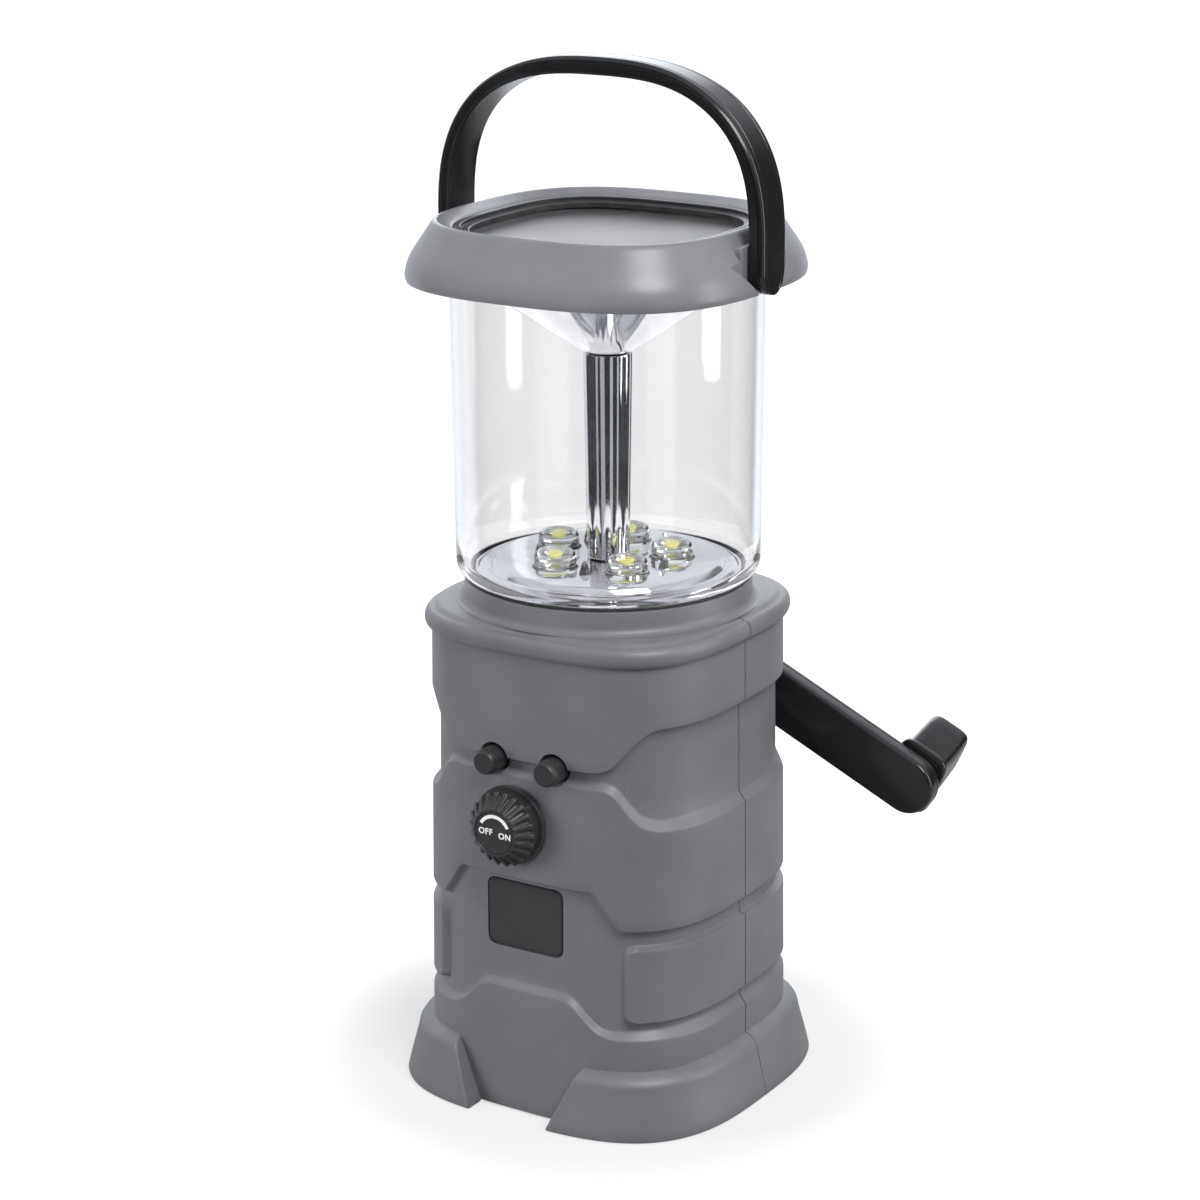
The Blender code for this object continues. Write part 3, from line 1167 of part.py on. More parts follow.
def make_battery(finish):
    """Three cells standing side by side in an open holder on the base plate."""
    pitch = 2.0 * CELL_RADIUS + GAP
    low = BASE_PLATE_THICKNESS + GAP
    floor = low + HOLDER_WALL
    half_width = pitch * CELL_COUNT / 2.0 + GAP + HOLDER_WALL
    half_depth = CELL_RADIUS + GAP + HOLDER_WALL
    base = floor + GAP
    cell_top = rotor_centre()[1] - STATOR_RADIUS - CELL_CLEARANCE
    shoulder = cell_top - CELL_NUB_HEIGHT
    top = floor + (cell_top - base) * HOLDER_OPEN_SHARE
    holder = box("battery_holder", (-half_width, HOLDER_Y - half_depth, low),
                 (half_width, HOLDER_Y + half_depth, top))
    cut(holder, box("well", (HOLDER_WALL - half_width, HOLDER_Y - half_depth + HOLDER_WALL, floor),
                    (half_width - HOLDER_WALL, HOLDER_Y + half_depth - HOLDER_WALL, top + OVERRUN)))
    dress(holder, finish["black"])
    for index in range(CELL_COUNT):
        x = pitch * (index - (CELL_COUNT - 1) / 2.0)
        profile = [(0, base), (CELL_RADIUS, base), (CELL_RADIUS, shoulder),
                   (CELL_NUB_RADIUS, shoulder), (CELL_NUB_RADIUS, cell_top), (0, cell_top)]
        cell = turned(f"battery_cell_{index + 1}", profile, CELL_SIDES)
        dress(place(cell, UPRIGHT, (x, HOLDER_Y, 0)), finish["cell"])


# Gear train and dynamo

def gear_outline(teeth, module, turn):
    """Toothed outline with straight flanks, turned so that a tooth points that way."""
    pitch = module * teeth / 2.0
    levels = ((pitch - TOOTH_ROOT_SHARE * module, TOOTH_FOOT_HALF_SHARE),
              (pitch + TOOTH_TIP_SHARE * module, TOOTH_TIP_HALF_SHARE))
    points = []
    for index in range(teeth):
        middle = turn + 2.0 * math.pi * index / teeth
        step = math.pi / teeth
        for radius, share in levels:
            angle = middle - step * share
            points.append((radius * math.cos(angle), radius * math.sin(angle)))
        for radius, share in reversed(levels):
            angle = middle + step * share
            points.append((radius * math.cos(angle), radius * math.sin(angle)))
    return points


def idler_centre():
    """X and Z of the intermediate gear's axle."""
    distance = FIRST_MODULE * (CRANK_GEAR_TEETH + IDLER_PINION_TEETH) / 2.0
    return (distance * math.cos(IDLER_DIRECTION), CRANK_HEIGHT + distance * math.sin(IDLER_DIRECTION))


def rotor_centre():
    """X and Z of the rotor's shaft, on the middle line under the crank shaft."""
    distance = SECOND_MODULE * (IDLER_GEAR_TEETH + ROTOR_PINION_TEETH) / 2.0
    x, z = idler_centre()
    return (0, z - math.sqrt(distance ** 2 - x ** 2))


def frame_rear():
    """Depth of the gear frame's rear face, with its corners clear of the curved wall."""
    top = gear_frame_span()[1]
    return depth_on_body(GEAR_FRAME_HALF, inner_half(top)) - GEAR_FRAME_CLEARANCE


def frame_front():
    """Depth of the front face of the gear frame's front plate."""
    clear = 2 * GEAR_FACE + 4 * GEAR_RUN_GAP
    return frame_rear() - 2 * GEAR_FRAME_PLATE - clear


def gear_layers():
    """Near and far depth of the first gear layer, at the back, and of the second."""
    inside = frame_rear() - GEAR_FRAME_PLATE
    first_far = inside - GEAR_RUN_GAP
    first_near = first_far - GEAR_FACE
    second_far = first_near - 2 * GEAR_RUN_GAP
    return (first_near, first_far), (second_far - GEAR_FACE, second_far)


def toothed_wheel(name, teeth, module, turn, centre, layer):
    """Gear with its axis along Y, in a layer of the train."""
    x, z = centre
    outline = [(x + across, z + up) for across, up in gear_outline(teeth, module, turn)]
    return along_depth(name, outline, layer[0], layer[1])


def shaft(name, radius, centre, near, far, sides=SMALL_SIDES):
    """Round bar along Y between two depths."""
    return place(cylinder(name, radius, near, far, sides), TO_BACK, (centre[0], 0, centre[1]))


def make_gears(finish):
    """Crank gear, intermediate gear and rotor, in a frame of two plates."""
    first, second = gear_layers()
    crank = (0, CRANK_HEIGHT)
    idler, rotor = idler_centre(), rotor_centre()
    front = frame_front()
    front_inside = front + GEAR_FRAME_PLATE

    crank_gear = toothed_wheel("crank_gear", CRANK_GEAR_TEETH, FIRST_MODULE, IDLER_DIRECTION, crank, first)
    cut(crank_gear, shaft("bore", SHAFT_RADIUS + GAP, crank, first[0] - OVERRUN, first[1] + OVERRUN,
                          ROUND_SIDES))
    dress(crank_gear, finish["white"], (0, 0, CRANK_HEIGHT))
    dress(shaft("crank_shaft", SHAFT_RADIUS, crank, front + GAP, shaft_end(), ROUND_SIDES),
          finish["steel"], (0, 0, CRANK_HEIGHT))

    tooth = math.pi / IDLER_PINION_TEETH
    opposite = IDLER_DIRECTION + math.pi + tooth
    pinion = toothed_wheel("idler_gear", IDLER_PINION_TEETH, FIRST_MODULE, opposite, idler,
                           (second[1] - GAP, first[1]))
    toward_rotor = math.atan2(rotor[1] - idler[1], rotor[0] - idler[0])
    wheel = toothed_wheel("wheel", IDLER_GEAR_TEETH, SECOND_MODULE, toward_rotor, idler, second)
    join(pinion, wheel)
    cut(pinion, shaft("bore", IDLER_AXLE_RADIUS + GAP, idler, second[0] - OVERRUN, first[1] + OVERRUN))
    dress(pinion, finish["white"], (idler[0], 0, idler[1]))
    dress(shaft("idler_axle", IDLER_AXLE_RADIUS, idler, front + GAP, frame_rear() - GAP), finish["steel"])

    stator_front = front - GAP - STATOR_LENGTH
    back = toward_rotor + math.pi + math.pi / ROTOR_PINION_TEETH
    rotor_piece = toothed_wheel("dynamo_rotor", ROTOR_PINION_TEETH, SECOND_MODULE, back, rotor, second)
    magnet_far = front - GAP - STATOR_WALL - GAP
    magnet_near = stator_front + STATOR_WALL + GAP
    join(rotor_piece,
         shaft("axle", ROTOR_SHAFT_RADIUS, rotor, stator_front + GAP, second[1] + GEAR_RUN_GAP),
         shaft("magnet", ROTOR_RADIUS, rotor, magnet_near, magnet_far, ROUND_SIDES))
    dress(rotor_piece, finish["steel"], (rotor[0], 0, rotor[1]))

    stator = shaft("dynamo_stator", STATOR_RADIUS, rotor, stator_front, front - GAP, ROUND_SIDES)
    cut(stator,
        shaft("space", STATOR_RADIUS - STATOR_WALL, rotor, stator_front + STATOR_WALL,
              front - GAP - STATOR_WALL, ROUND_SIDES),
        shaft("bearing", ROTOR_SHAFT_RADIUS + GAP, rotor, stator_front - OVERRUN, front + OVERRUN))
    dress(stator, finish["steel"])
    make_gear_frame(finish, front, front_inside, crank, idler, rotor)


def gear_posts():
    """X and Z of the posts between the frame's plates, clear of every gear."""
    half = GEAR_FRAME_HALF - GEAR_POST_RADIUS - GEAR_POST_EDGE
    top = CRANK_HEIGHT + SHAFT_RADIUS + GEAR_FRAME_TOP_MARGIN
    low = rotor_centre()[1] - GEAR_FRAME_LOW_MARGIN
    return (-half, top), (half, top), (-half, low), (half, low)


def gear_frame_span():
    """Lowest and highest Z of the gear frame."""
    posts_at = gear_posts()
    past = GEAR_POST_RADIUS + GEAR_POST_EDGE
    return posts_at[2][1] - past, posts_at[0][1] + past


def make_gear_frame(finish, front, front_inside, crank, idler, rotor):
    """Two plates joined by four posts, bored for the shafts."""
    half = GEAR_FRAME_HALF
    low, top = gear_frame_span()
    rear_inside = frame_rear() - GEAR_FRAME_PLATE
    frame = box("gear_frame", (-half, rear_inside, low), (half, frame_rear(), top))
    join(frame, box("plate", (-half, front, low), (half, front_inside, top)))
    middle_front = (front + front_inside) / 2.0
    middle_rear = (rear_inside + frame_rear()) / 2.0
    for spot in gear_posts():
        join(frame, shaft("post", GEAR_POST_RADIUS, spot, middle_front, middle_rear))
    past_front, past_rear = front - OVERRUN, frame_rear() + OVERRUN
    cut(frame,
        shaft("bore", SHAFT_RADIUS + GAP, crank, past_front, past_rear, ROUND_SIDES),
        shaft("bore", IDLER_AXLE_RADIUS + GAP, idler, past_front, past_rear),
        shaft("bore", ROTOR_SHAFT_RADIUS + GAP, rotor, past_front, front_inside + GAP))
    dress(frame, finish["steel"])


def gear_frame_seats():
    """Pegs of the rear shell that the gear frame's rear plate is seated on."""
    made = []
    for x, z in gear_posts():
        wall = depth_on_body(x, inner_half(z)) + SHELL_WALL / 2.0
        made.append(shaft("peg", GEAR_POST_RADIUS, (x, z), frame_rear() + GAP, wall))
    return made


def boss_face():
    """Depth of the crank boss's outer face."""
    return body_half(CRANK_HEIGHT) + BOSS_PROUD


def crank_boss():
    """Round boss of the rear shell that holds the crank's bush."""
    near = inner_half(CRANK_HEIGHT) - SHELL_WALL
    return shaft("boss", BOSS_RADIUS, (0, CRANK_HEIGHT), near, boss_face(), ROUND_SIDES)


def crank_opening():
    """Bore through the boss for the bush."""
    return shaft("bore", BUSH_RADIUS + GAP, (0, CRANK_HEIGHT), frame_rear(), boss_face() + OVERRUN,
                 ROUND_SIDES)


# Crank

def make_crank(finish):
    """Bush, arm, knob and the pin that the knob turns on."""
    hub = (0, 0, CRANK_HEIGHT)
    near = inner_half(CRANK_HEIGHT) - SHELL_WALL
    flange_low = boss_face() + GAP
    flange_top = flange_low + BUSH_FLANGE_THICKNESS
    bore = SHAFT_RADIUS + GAP
    profile = [(bore, near), (BUSH_RADIUS, near), (BUSH_RADIUS, flange_low),
               (BUSH_FLANGE_RADIUS, flange_low), (BUSH_FLANGE_RADIUS, flange_top), (bore, flange_top)]
    dress(place(turned("crank_bush", profile), TO_BACK, hub), finish["brass"])

    low = flange_top + GAP
    top = low + ARM_THICKNESS
    end = (ARM_LENGTH * math.cos(ARM_DIRECTION), 0, CRANK_HEIGHT + ARM_LENGTH * math.sin(ARM_DIRECTION))
    outline = []
    side = math.radians(90)
    knob_end, hub_end = ((end[0], end[2]), ARM_DIRECTION - side), ((0, CRANK_HEIGHT), ARM_DIRECTION + side)
    for (centre_x, centre_z), start in (knob_end, hub_end):
        for index in range(ARM_END_STEPS + 1):
            angle = start + math.pi * index / ARM_END_STEPS
            outline.append((centre_x + ARM_RADIUS * math.cos(angle), centre_z + ARM_RADIUS * math.sin(angle)))
    arm = along_depth("crank_arm", outline, low, top)
    bevel = arm.modifiers.new("edges", "BEVEL")
    bevel.width = ARM_BEVEL
    bevel.segments = 2
    bevel.angle_limit = math.radians(60)
    depsgraph = bpy.context.evaluated_depsgraph_get()
    arm.data = bpy.data.meshes.new_from_object(arm.evaluated_get(depsgraph))
    arm.modifiers.clear()
    cut(arm, shaft("bore", SHAFT_RADIUS + GAP, (0, CRANK_HEIGHT), low - OVERRUN, shaft_end() + GAP,
                   ROUND_SIDES))
    pin = (end[0], end[2])
    bed = low + KNOB_PIN_BED
    cut(arm, shaft("bore", KNOB_PIN_RADIUS + GAP, pin, bed - GAP, top + OVERRUN))
    dress(arm, finish["gloss"], hub)

    knob_low = top + GAP
    pin_end = bed + KNOB_PIN_LENGTH
    dress(shaft("knob_pin", KNOB_PIN_RADIUS, pin, bed, pin_end), finish["steel"], end)
    flange_end = knob_low + KNOB_FLANGE_THICKNESS
    knob_end = knob_low + KNOB_LENGTH
    straight_end = flange_end + (knob_end - flange_end) * KNOB_TIP_FROM_SHARE
    base = [half - KNOB_GRIP_INSET for half in KNOB_FLANGE_HALVES]
    tip = [half * KNOB_TIP_ROUND_SHARE for half in KNOB_TIP_HALVES]
    knob = loft("crank_knob", [
        knob_ring(end, knob_low, KNOB_FLANGE_HALVES, KNOB_FLANGE_OFFSET),
        knob_ring(end, flange_end, KNOB_FLANGE_HALVES, KNOB_FLANGE_OFFSET),
        knob_ring(end, flange_end, base, KNOB_FLANGE_OFFSET),
        knob_ring(end, straight_end, KNOB_TIP_HALVES, KNOB_TIP_OFFSET),
        knob_ring(end, knob_end, tip, KNOB_TIP_OFFSET)])
    cut(knob, shaft("bore", KNOB_PIN_RADIUS + GAP, pin, knob_low - OVERRUN, pin_end + GAP))
    dress(knob, finish["gloss"], end)


def shaft_end():
    """Depth of the crank shaft's end, inside the arm."""
    return boss_face() + BUSH_FLANGE_THICKNESS + 2 * GAP + ARM_THICKNESS * ARM_BORE_SHARE


def knob_ring(end, depth, halves, offset):
    """Section of the knob at a depth: half sizes and offset along and across the arm."""
    points = []
    for x, y in rounded_square(1.0, KNOB_SQUARENESS, KNOB_SIDES):
        along, across = x * halves[0] + offset[0], y * halves[1] + offset[1]
        points.append((end[0] + along * math.cos(ARM_DIRECTION) - across * math.sin(ARM_DIRECTION),
                       depth,
                       end[2] + along * math.sin(ARM_DIRECTION) + across * math.cos(ARM_DIRECTION)))
    return points


def main():
    """Build every piece of the lantern."""
    for piece in list(bpy.data.objects):
        bpy.data.objects.remove(piece)
    finish = make_surfaces()
    make_shells(finish)
    make_base(finish)
    make_globe(finish)
    make_tray(finish)
    make_reflector(finish)
    make_cap(finish)
    make_solar(finish)
    make_handle(finish)
    make_dial(finish)
    make_buttons(finish)
    make_ports(finish)
    make_board(finish)
    make_battery(finish)
    make_gears(finish)
    make_crank(finish)


main()
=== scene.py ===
"""Hand crank lantern: the looks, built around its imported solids.

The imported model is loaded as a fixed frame. Each sub-assembly is a class whose fields are its sizes
in millimetres; its methods model the pieces and give them their finishes. Heights are measured from
the floor, X is the lantern's width and Y its depth, with the front at -Y.
"""

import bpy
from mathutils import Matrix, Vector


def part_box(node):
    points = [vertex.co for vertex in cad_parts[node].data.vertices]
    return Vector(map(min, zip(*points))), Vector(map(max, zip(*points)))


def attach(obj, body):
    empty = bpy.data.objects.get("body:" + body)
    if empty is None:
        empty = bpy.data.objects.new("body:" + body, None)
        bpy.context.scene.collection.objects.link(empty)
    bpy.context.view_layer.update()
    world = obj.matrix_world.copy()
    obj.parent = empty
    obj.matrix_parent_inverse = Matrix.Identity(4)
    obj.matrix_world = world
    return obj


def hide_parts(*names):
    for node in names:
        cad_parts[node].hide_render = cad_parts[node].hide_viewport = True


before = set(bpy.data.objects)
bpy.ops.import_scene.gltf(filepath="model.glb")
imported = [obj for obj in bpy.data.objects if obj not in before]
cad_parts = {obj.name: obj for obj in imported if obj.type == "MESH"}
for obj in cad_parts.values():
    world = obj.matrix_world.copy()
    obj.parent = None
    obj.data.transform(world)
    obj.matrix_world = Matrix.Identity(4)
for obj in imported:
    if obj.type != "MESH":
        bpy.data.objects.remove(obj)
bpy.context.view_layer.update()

import logging
import math
from dataclasses import dataclass, field
from enum import Enum

import bpy
import numpy as np
from mathutils import Matrix, Vector

log = logging.getLogger("lantern")

MM = 0.001
MERGE = 0.0004 * MM
FULL_TURN = 2.0 * math.pi
ROUND_STEPS = 96
FINE_STEPS = 160
SMALL_STEPS = 40
CAP_STEPS = 240
PIN_STEPS = 24
SMOOTH_ANGLE = math.radians(32.0)
CRISP_ANGLE = math.radians(24.0)
RELIEF_ANGLE = math.radians(38.0)
DIAL_ANGLE = math.radians(40.0)
FLUTE_ANGLE = math.radians(50.0)
FAR = 60.0

Point = tuple[float, float]
Colour = tuple[float, float, float]
DUST: Colour = (0.5, 0.49, 0.47)
TO_FRONT = Matrix.Rotation(math.radians(90.0), 4, "X")
TO_BACK = Matrix.Rotation(math.radians(-90.0), 4, "X")
TO_RIGHT = Matrix.Rotation(math.radians(90.0), 4, "Y")
TO_LEFT = Matrix.Rotation(math.radians(-90.0), 4, "Y")
STILL = Matrix.Identity(4)
HERE = (0.0, 0.0, 0.0)


class Slot(Enum):
    """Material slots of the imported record."""

    BODY = "body_grey"
    CAP = "cap_grey"
    GLOSS = "gloss_black"
    MATT = "matt_black"
    RUBBER = "black_rubber"
    CLEAR = "clear_plastic"
    CHROME = "chrome_plate"
    STEEL = "steel"
    BRASS = "brass"
    LENS = "lamp_lens"
    SOLAR = "solar_cells"
    BOARD = "circuit_board"
    SLEEVE = "cell_sleeve"
    WHITE = "white_plastic"


class Cut(Enum):
    """How one solid is combined with another."""

    ADD = "UNION"
    TAKE = "DIFFERENCE"


# Shapes drawn in the plane

def squared_unit(angles: np.ndarray, power: float) -> np.ndarray:
    """Directions to a rounded square of half size 1.

    Args:
        angles: Angles round the axis, in radians.
        power: Squareness; 2 is a circle.

    Returns:
        One X, Y pair for each angle.
    """
    cosine, sine = np.cos(angles), np.sin(angles)
    radius = (np.abs(cosine) ** power + np.abs(sine) ** power) ** (-1.0 / power)
    return np.stack([radius * cosine, radius * sine], axis=-1)


def even_angles(power: float, count: int) -> np.ndarray:
    """Angles that space points evenly along a rounded square.

    Args:
        power: Squareness of the rounded square.
        count: How many angles are wanted.

    Returns:
        The angles, starting at zero.
    """
    dense = np.linspace(0.0, FULL_TURN, 4001)
    points = squared_unit(dense, power)
    walked = np.concatenate([[0.0], np.cumsum(np.linalg.norm(np.diff(points, axis=0), axis=1))])
    return np.interp(np.arange(count) / count * walked[-1], walked, dense)


def softened(points: list[Point], radius: float, steps: int = 4) -> list[Point]:
    """Rounds every corner of a closed outline.

    Args:
        points: Corners of the outline, in order.
        radius: Radius of the rounding, less where a side is too short for it.
        steps: Pieces that each rounded corner is made of.

    Returns:
        The outline with its corners rounded.
    """
    made = []
    count = len(points)
    for index, point in enumerate(points):
        here = Vector(point)
        before = Vector(points[index - 1]) - here
        after = Vector(points[(index + 1) % count]) - here
        if abs(here.x) < 1e-6 or before.length < 1e-6 or after.length < 1e-6:
            made.append((here.x, here.y))
            continue
        turn = before.angle(after)
        if turn > math.radians(172.0):
            made.append((here.x, here.y))
            continue
        reach = min(radius / math.tan(turn / 2.0), before.length * 0.45, after.length * 0.45)
        start, end = here + before.normalized() * reach, here + after.normalized() * reach
        for step in range(steps + 1):
            share = step / steps
            curve = start * (1 - share) ** 2 + here * 2 * share * (1 - share) + end * share ** 2
            made.append((curve.x, curve.y))
    return made


def rounded_box(left: float, low: float, right: float, high: float, corner: float) -> list[Point]:
    """Outline of a box with round corners.

    Args:
        left, low, right, high: Its sides.
        corner: Radius of its corners.

    Returns:
        The outline's points.
    """
    return softened([(left, low), (right, low), (right, high), (left, high)], corner, 6)


def round_outline(radius: float, steps: int = SMALL_STEPS) -> list[Point]:
    """Points of a circle about the origin."""
    return [(radius * math.cos(FULL_TURN * i / steps), radius * math.sin(FULL_TURN * i / steps))
            for i in range(steps)]


# Work at the bench: every helper starts with nothing selected and leaves its piece at the origin

def clear_selection() -> None:
    """Leaves edit mode and deselects everything, because operators act on all that is selected."""
    if bpy.context.object and bpy.context.object.mode != "OBJECT":
        bpy.ops.object.mode_set(mode="OBJECT")
    bpy.ops.object.select_all(action="DESELECT")


def take_up(piece: bpy.types.Object) -> None:
    """Makes a piece the only selected and the active one."""
    clear_selection()
    piece.select_set(True)
    bpy.context.view_layer.objects.active = piece


def close_skin(piece: bpy.types.Object, fill: bool = False) -> bpy.types.Object:
    """Merges doubles, drops loose parts, fills open ends if asked, and turns the faces outwards.

    Args:
        piece: The piece to close.
        fill: Whether open ends are filled.

    Returns:
        The same piece.
    """
    take_up(piece)
    bpy.ops.object.mode_set(mode="EDIT")
    bpy.ops.mesh.select_all(action="SELECT")
    bpy.ops.mesh.remove_doubles(threshold=MERGE)
    bpy.ops.mesh.delete_loose(use_verts=True, use_edges=True, use_faces=False)
    if fill:
        bpy.ops.mesh.select_all(action="DESELECT")
        bpy.ops.mesh.select_mode(type="EDGE")
        bpy.ops.mesh.select_non_manifold(extend=False)
        bpy.ops.mesh.fill_holes(sides=0)
    bpy.ops.mesh.select_all(action="SELECT")
    bpy.ops.mesh.normals_make_consistent(inside=False)
    bpy.ops.object.mode_set(mode="OBJECT")
    return piece


def loft(name: str, rings: np.ndarray, joined: bool = False) -> bpy.types.Object:
    """Lays a grid over closed rings of points; its ends are filled, or joined to each other.

    Args:
        name: Name of the piece.
        rings: Ring by ring, the points in millimetres.
        joined: Whether the last ring meets the first.

    Returns:
        The closed piece.
    """
    points = np.concatenate([rings, rings[:, :1]], axis=1)
    if joined:
        points = np.concatenate([points, points[:1]], axis=0)
    rows, columns = points.shape[0] - 1, points.shape[1] - 1
    clear_selection()
    bpy.ops.mesh.primitive_grid_add(x_subdivisions=columns, y_subdivisions=rows, size=1.0, location=HERE)
    piece = bpy.context.object
    piece.name = name
    piece.data.vertices.foreach_set("co", (points.reshape(-1, 3) * MM).astype(np.float32).ravel())
    return close_skin(piece, fill=not joined)


def turned(name: str, profile: list[Point], steps: int = ROUND_STEPS) -> bpy.types.Object:
    """Spins a closed profile round the Z axis.

    Args:
        name: Name of the piece.
        profile: Radius and height of the profile's points, in millimetres.
        steps: Steps of the spin.

    Returns:
        The closed piece.
    """
    clear_selection()
    bpy.ops.mesh.primitive_circle_add(vertices=len(profile), radius=1.0, location=HERE)
    piece = bpy.context.object
    piece.name = name
    for vertex, (radius, height) in zip(piece.data.vertices, profile):
        vertex.co = (radius * MM, 0.0, height * MM)
    bpy.ops.object.mode_set(mode="EDIT")
    bpy.ops.mesh.select_all(action="SELECT")
    bpy.ops.mesh.spin(steps=steps, angle=FULL_TURN, center=(0, 0, 0), axis=(0, 0, 1))
    bpy.ops.object.mode_set(mode="OBJECT")
    return close_skin(piece)


def squared(piece: bpy.types.Object, powers: list[tuple[float, float]]) -> bpy.types.Object:
    """Pushes a turned piece's points out to rounded squares.

    Args:
        piece: The turned piece.
        powers: Pairs of half size and squareness, between which the squareness is read.

    Returns:
        The same piece.
    """
    points = np.empty(len(piece.data.vertices) * 3, np.float32)
    piece.data.vertices.foreach_get("co", points)
    points = points.reshape(-1, 3)
    radius = np.hypot(points[:, 0], points[:, 1])
    angles = np.arctan2(points[:, 1], points[:, 0])
    halves, values = zip(*powers)
    power = np.interp(radius / MM, halves, values)
    cosine, sine = np.abs(np.cos(angles)), np.abs(np.sin(angles))
    stretch = (cosine ** power + sine ** power) ** (-1.0 / power)
    points[:, :2] *= stretch[:, None]
    piece.data.vertices.foreach_set("co", points.ravel())
    piece.data.update()
    return piece


def prism(name: str, outline: list[Point], low: float, high: float, edge: float = 0.0,
          segments: int = 3) -> bpy.types.Object:
    """Extrudes an outline along Z, with bevelled edges at both ends.

    Args:
        name: Name of the piece.
        outline: Its outline in X and Y, in millimetres.
        low, high: Where it starts and ends.
        edge: Width of the bevel, or 0 for none.
        segments: Faces across the bevel.

    Returns:
        The closed piece.
    """
    clear_selection()
    bpy.ops.mesh.primitive_circle_add(vertices=len(outline), radius=1.0, fill_type="NGON", location=HERE)
    piece = bpy.context.object
    piece.name = name
    for vertex, (x, y) in zip(piece.data.vertices, outline):
        vertex.co = (x * MM, y * MM, low * MM)
    bpy.ops.object.mode_set(mode="EDIT")
    bpy.ops.mesh.select_all(action="SELECT")
    bpy.ops.mesh.extrude_region_move(TRANSFORM_OT_translate={"value": (0, 0, (high - low) * MM)})
    bpy.ops.object.mode_set(mode="OBJECT")
    close_skin(piece)
    if edge > 0.0:
        ends = sorted(piece.data.polygons, key=lambda face: -len(face.vertices))[:2]
        bevel_edges(piece, {key for face in ends for key in face.edge_keys}, edge, segments)
    return piece


def bevel_edges(piece: bpy.types.Object, edges: set[tuple[int, int]], width: float,
                segments: int) -> None:
    """Bevels chosen edges of a piece.

    Args:
        piece: The piece.
        edges: Keys of the edges.
        width: Width of the bevel, in millimetres.
        segments: Faces across it.
    """
    take_up(piece)
    bpy.ops.object.mode_set(mode="EDIT")
    bpy.ops.mesh.select_mode(type="EDGE")
    bpy.ops.mesh.select_all(action="DESELECT")
    bpy.ops.object.mode_set(mode="OBJECT")
    for item in piece.data.edges:
        item.select = item.key in edges
    bpy.ops.object.mode_set(mode="EDIT")
    bpy.ops.mesh.bevel(offset=width * MM, segments=segments, affect="EDGES")
    bpy.ops.object.mode_set(mode="OBJECT")


def put(piece: bpy.types.Object, turn: Matrix, spot: tuple[float, float, float]) -> bpy.types.Object:
    """Turns a piece and moves it to a spot in millimetres, in its mesh.

    Args:
        piece: The piece, at the origin.
        turn: How it is turned.
        spot: Where its origin goes.

    Returns:
        The same piece.
    """
    piece.data.transform(Matrix.Translation(Vector(spot) * MM) @ turn)
    piece.data.update()
    return piece


def bore(name: str, radius: float, low: float, high: float, turn: Matrix = STILL,
         spot: tuple[float, float, float] = HERE, steps: int = SMALL_STEPS) -> bpy.types.Object:
    """Makes a round tool.

    Args:
        name: Its name.
        radius: Its radius, in millimetres.
        low, high: Where it starts and ends along its axis.
        turn: How it is turned from Z.
        spot: Where its origin goes.
        steps: Faces round it.

    Returns:
        The tool.
    """
    return put(prism(name, round_outline(radius, steps), low, high), turn, spot)


def combine(piece: bpy.types.Object, tools: list[bpy.types.Object], how: Cut) -> bpy.types.Object:
    """Adds tools to a piece or takes them from it; the tools are used up.

    Args:
        piece: The piece that stays.
        tools: Closed solids that don't touch each other.
        how: Whether they are added or taken away.

    Returns:
        The same piece.
    """
    clear_selection()
    for tool in tools:
        tool.select_set(True)
    bpy.context.view_layer.objects.active = tools[0]
    if len(tools) > 1:
        bpy.ops.object.join()
    tool = tools[0]
    take_up(piece)
    bpy.ops.object.modifier_add(type="BOOLEAN")
    modifier = piece.modifiers[-1]
    modifier.operation = how.value
    modifier.solver = "EXACT"
    modifier.object = tool
    bpy.ops.object.modifier_apply(modifier=modifier.name)
    bpy.data.objects.remove(tool)
    return piece


def twin(piece: bpy.types.Object, name: str) -> bpy.types.Object:
    """Copies a piece, with a mesh of its own."""
    made = piece.copy()
    made.data = piece.data.copy()
    made.name = name
    bpy.context.scene.collection.objects.link(made)
    return made


def half_of(piece: bpy.types.Object, name: str, front: bool, gap: float) -> bpy.types.Object:
    """Copies a piece and keeps what lies before or behind the seam.

    Args:
        piece: The whole piece.
        name: Name of the half.
        front: Whether the front half is kept.
        gap: Width of the seam, in millimetres.

    Returns:
        The closed half.
    """
    half = twin(piece, name)
    take_up(half)
    bpy.ops.object.mode_set(mode="EDIT")
    bpy.ops.mesh.select_all(action="SELECT")
    side = -1.0 if front else 1.0
    bpy.ops.mesh.bisect(plane_co=(0, side * gap / 2.0 * MM, 0), plane_no=(0, 1, 0), use_fill=True,
                        clear_outer=front, clear_inner=not front, threshold=1e-7)
    bpy.ops.object.mode_set(mode="OBJECT")
    return close_skin(half)


def corners(node: str) -> tuple[Vector, Vector]:
    """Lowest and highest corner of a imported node, in millimetres."""
    low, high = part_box(node)
    return Vector(low) / MM, Vector(high) / MM


def middle(node: str) -> Vector:
    """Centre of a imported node, in millimetres."""
    low, high = corners(node)
    return (low + high) / 2.0


def round_ring(radius: np.ndarray | float, angles: np.ndarray, height: float) -> np.ndarray:
    """Points of one level ring round the Z axis."""
    level = np.full(len(angles), height)
    return np.column_stack([radius * np.cos(angles), radius * np.sin(angles), level])


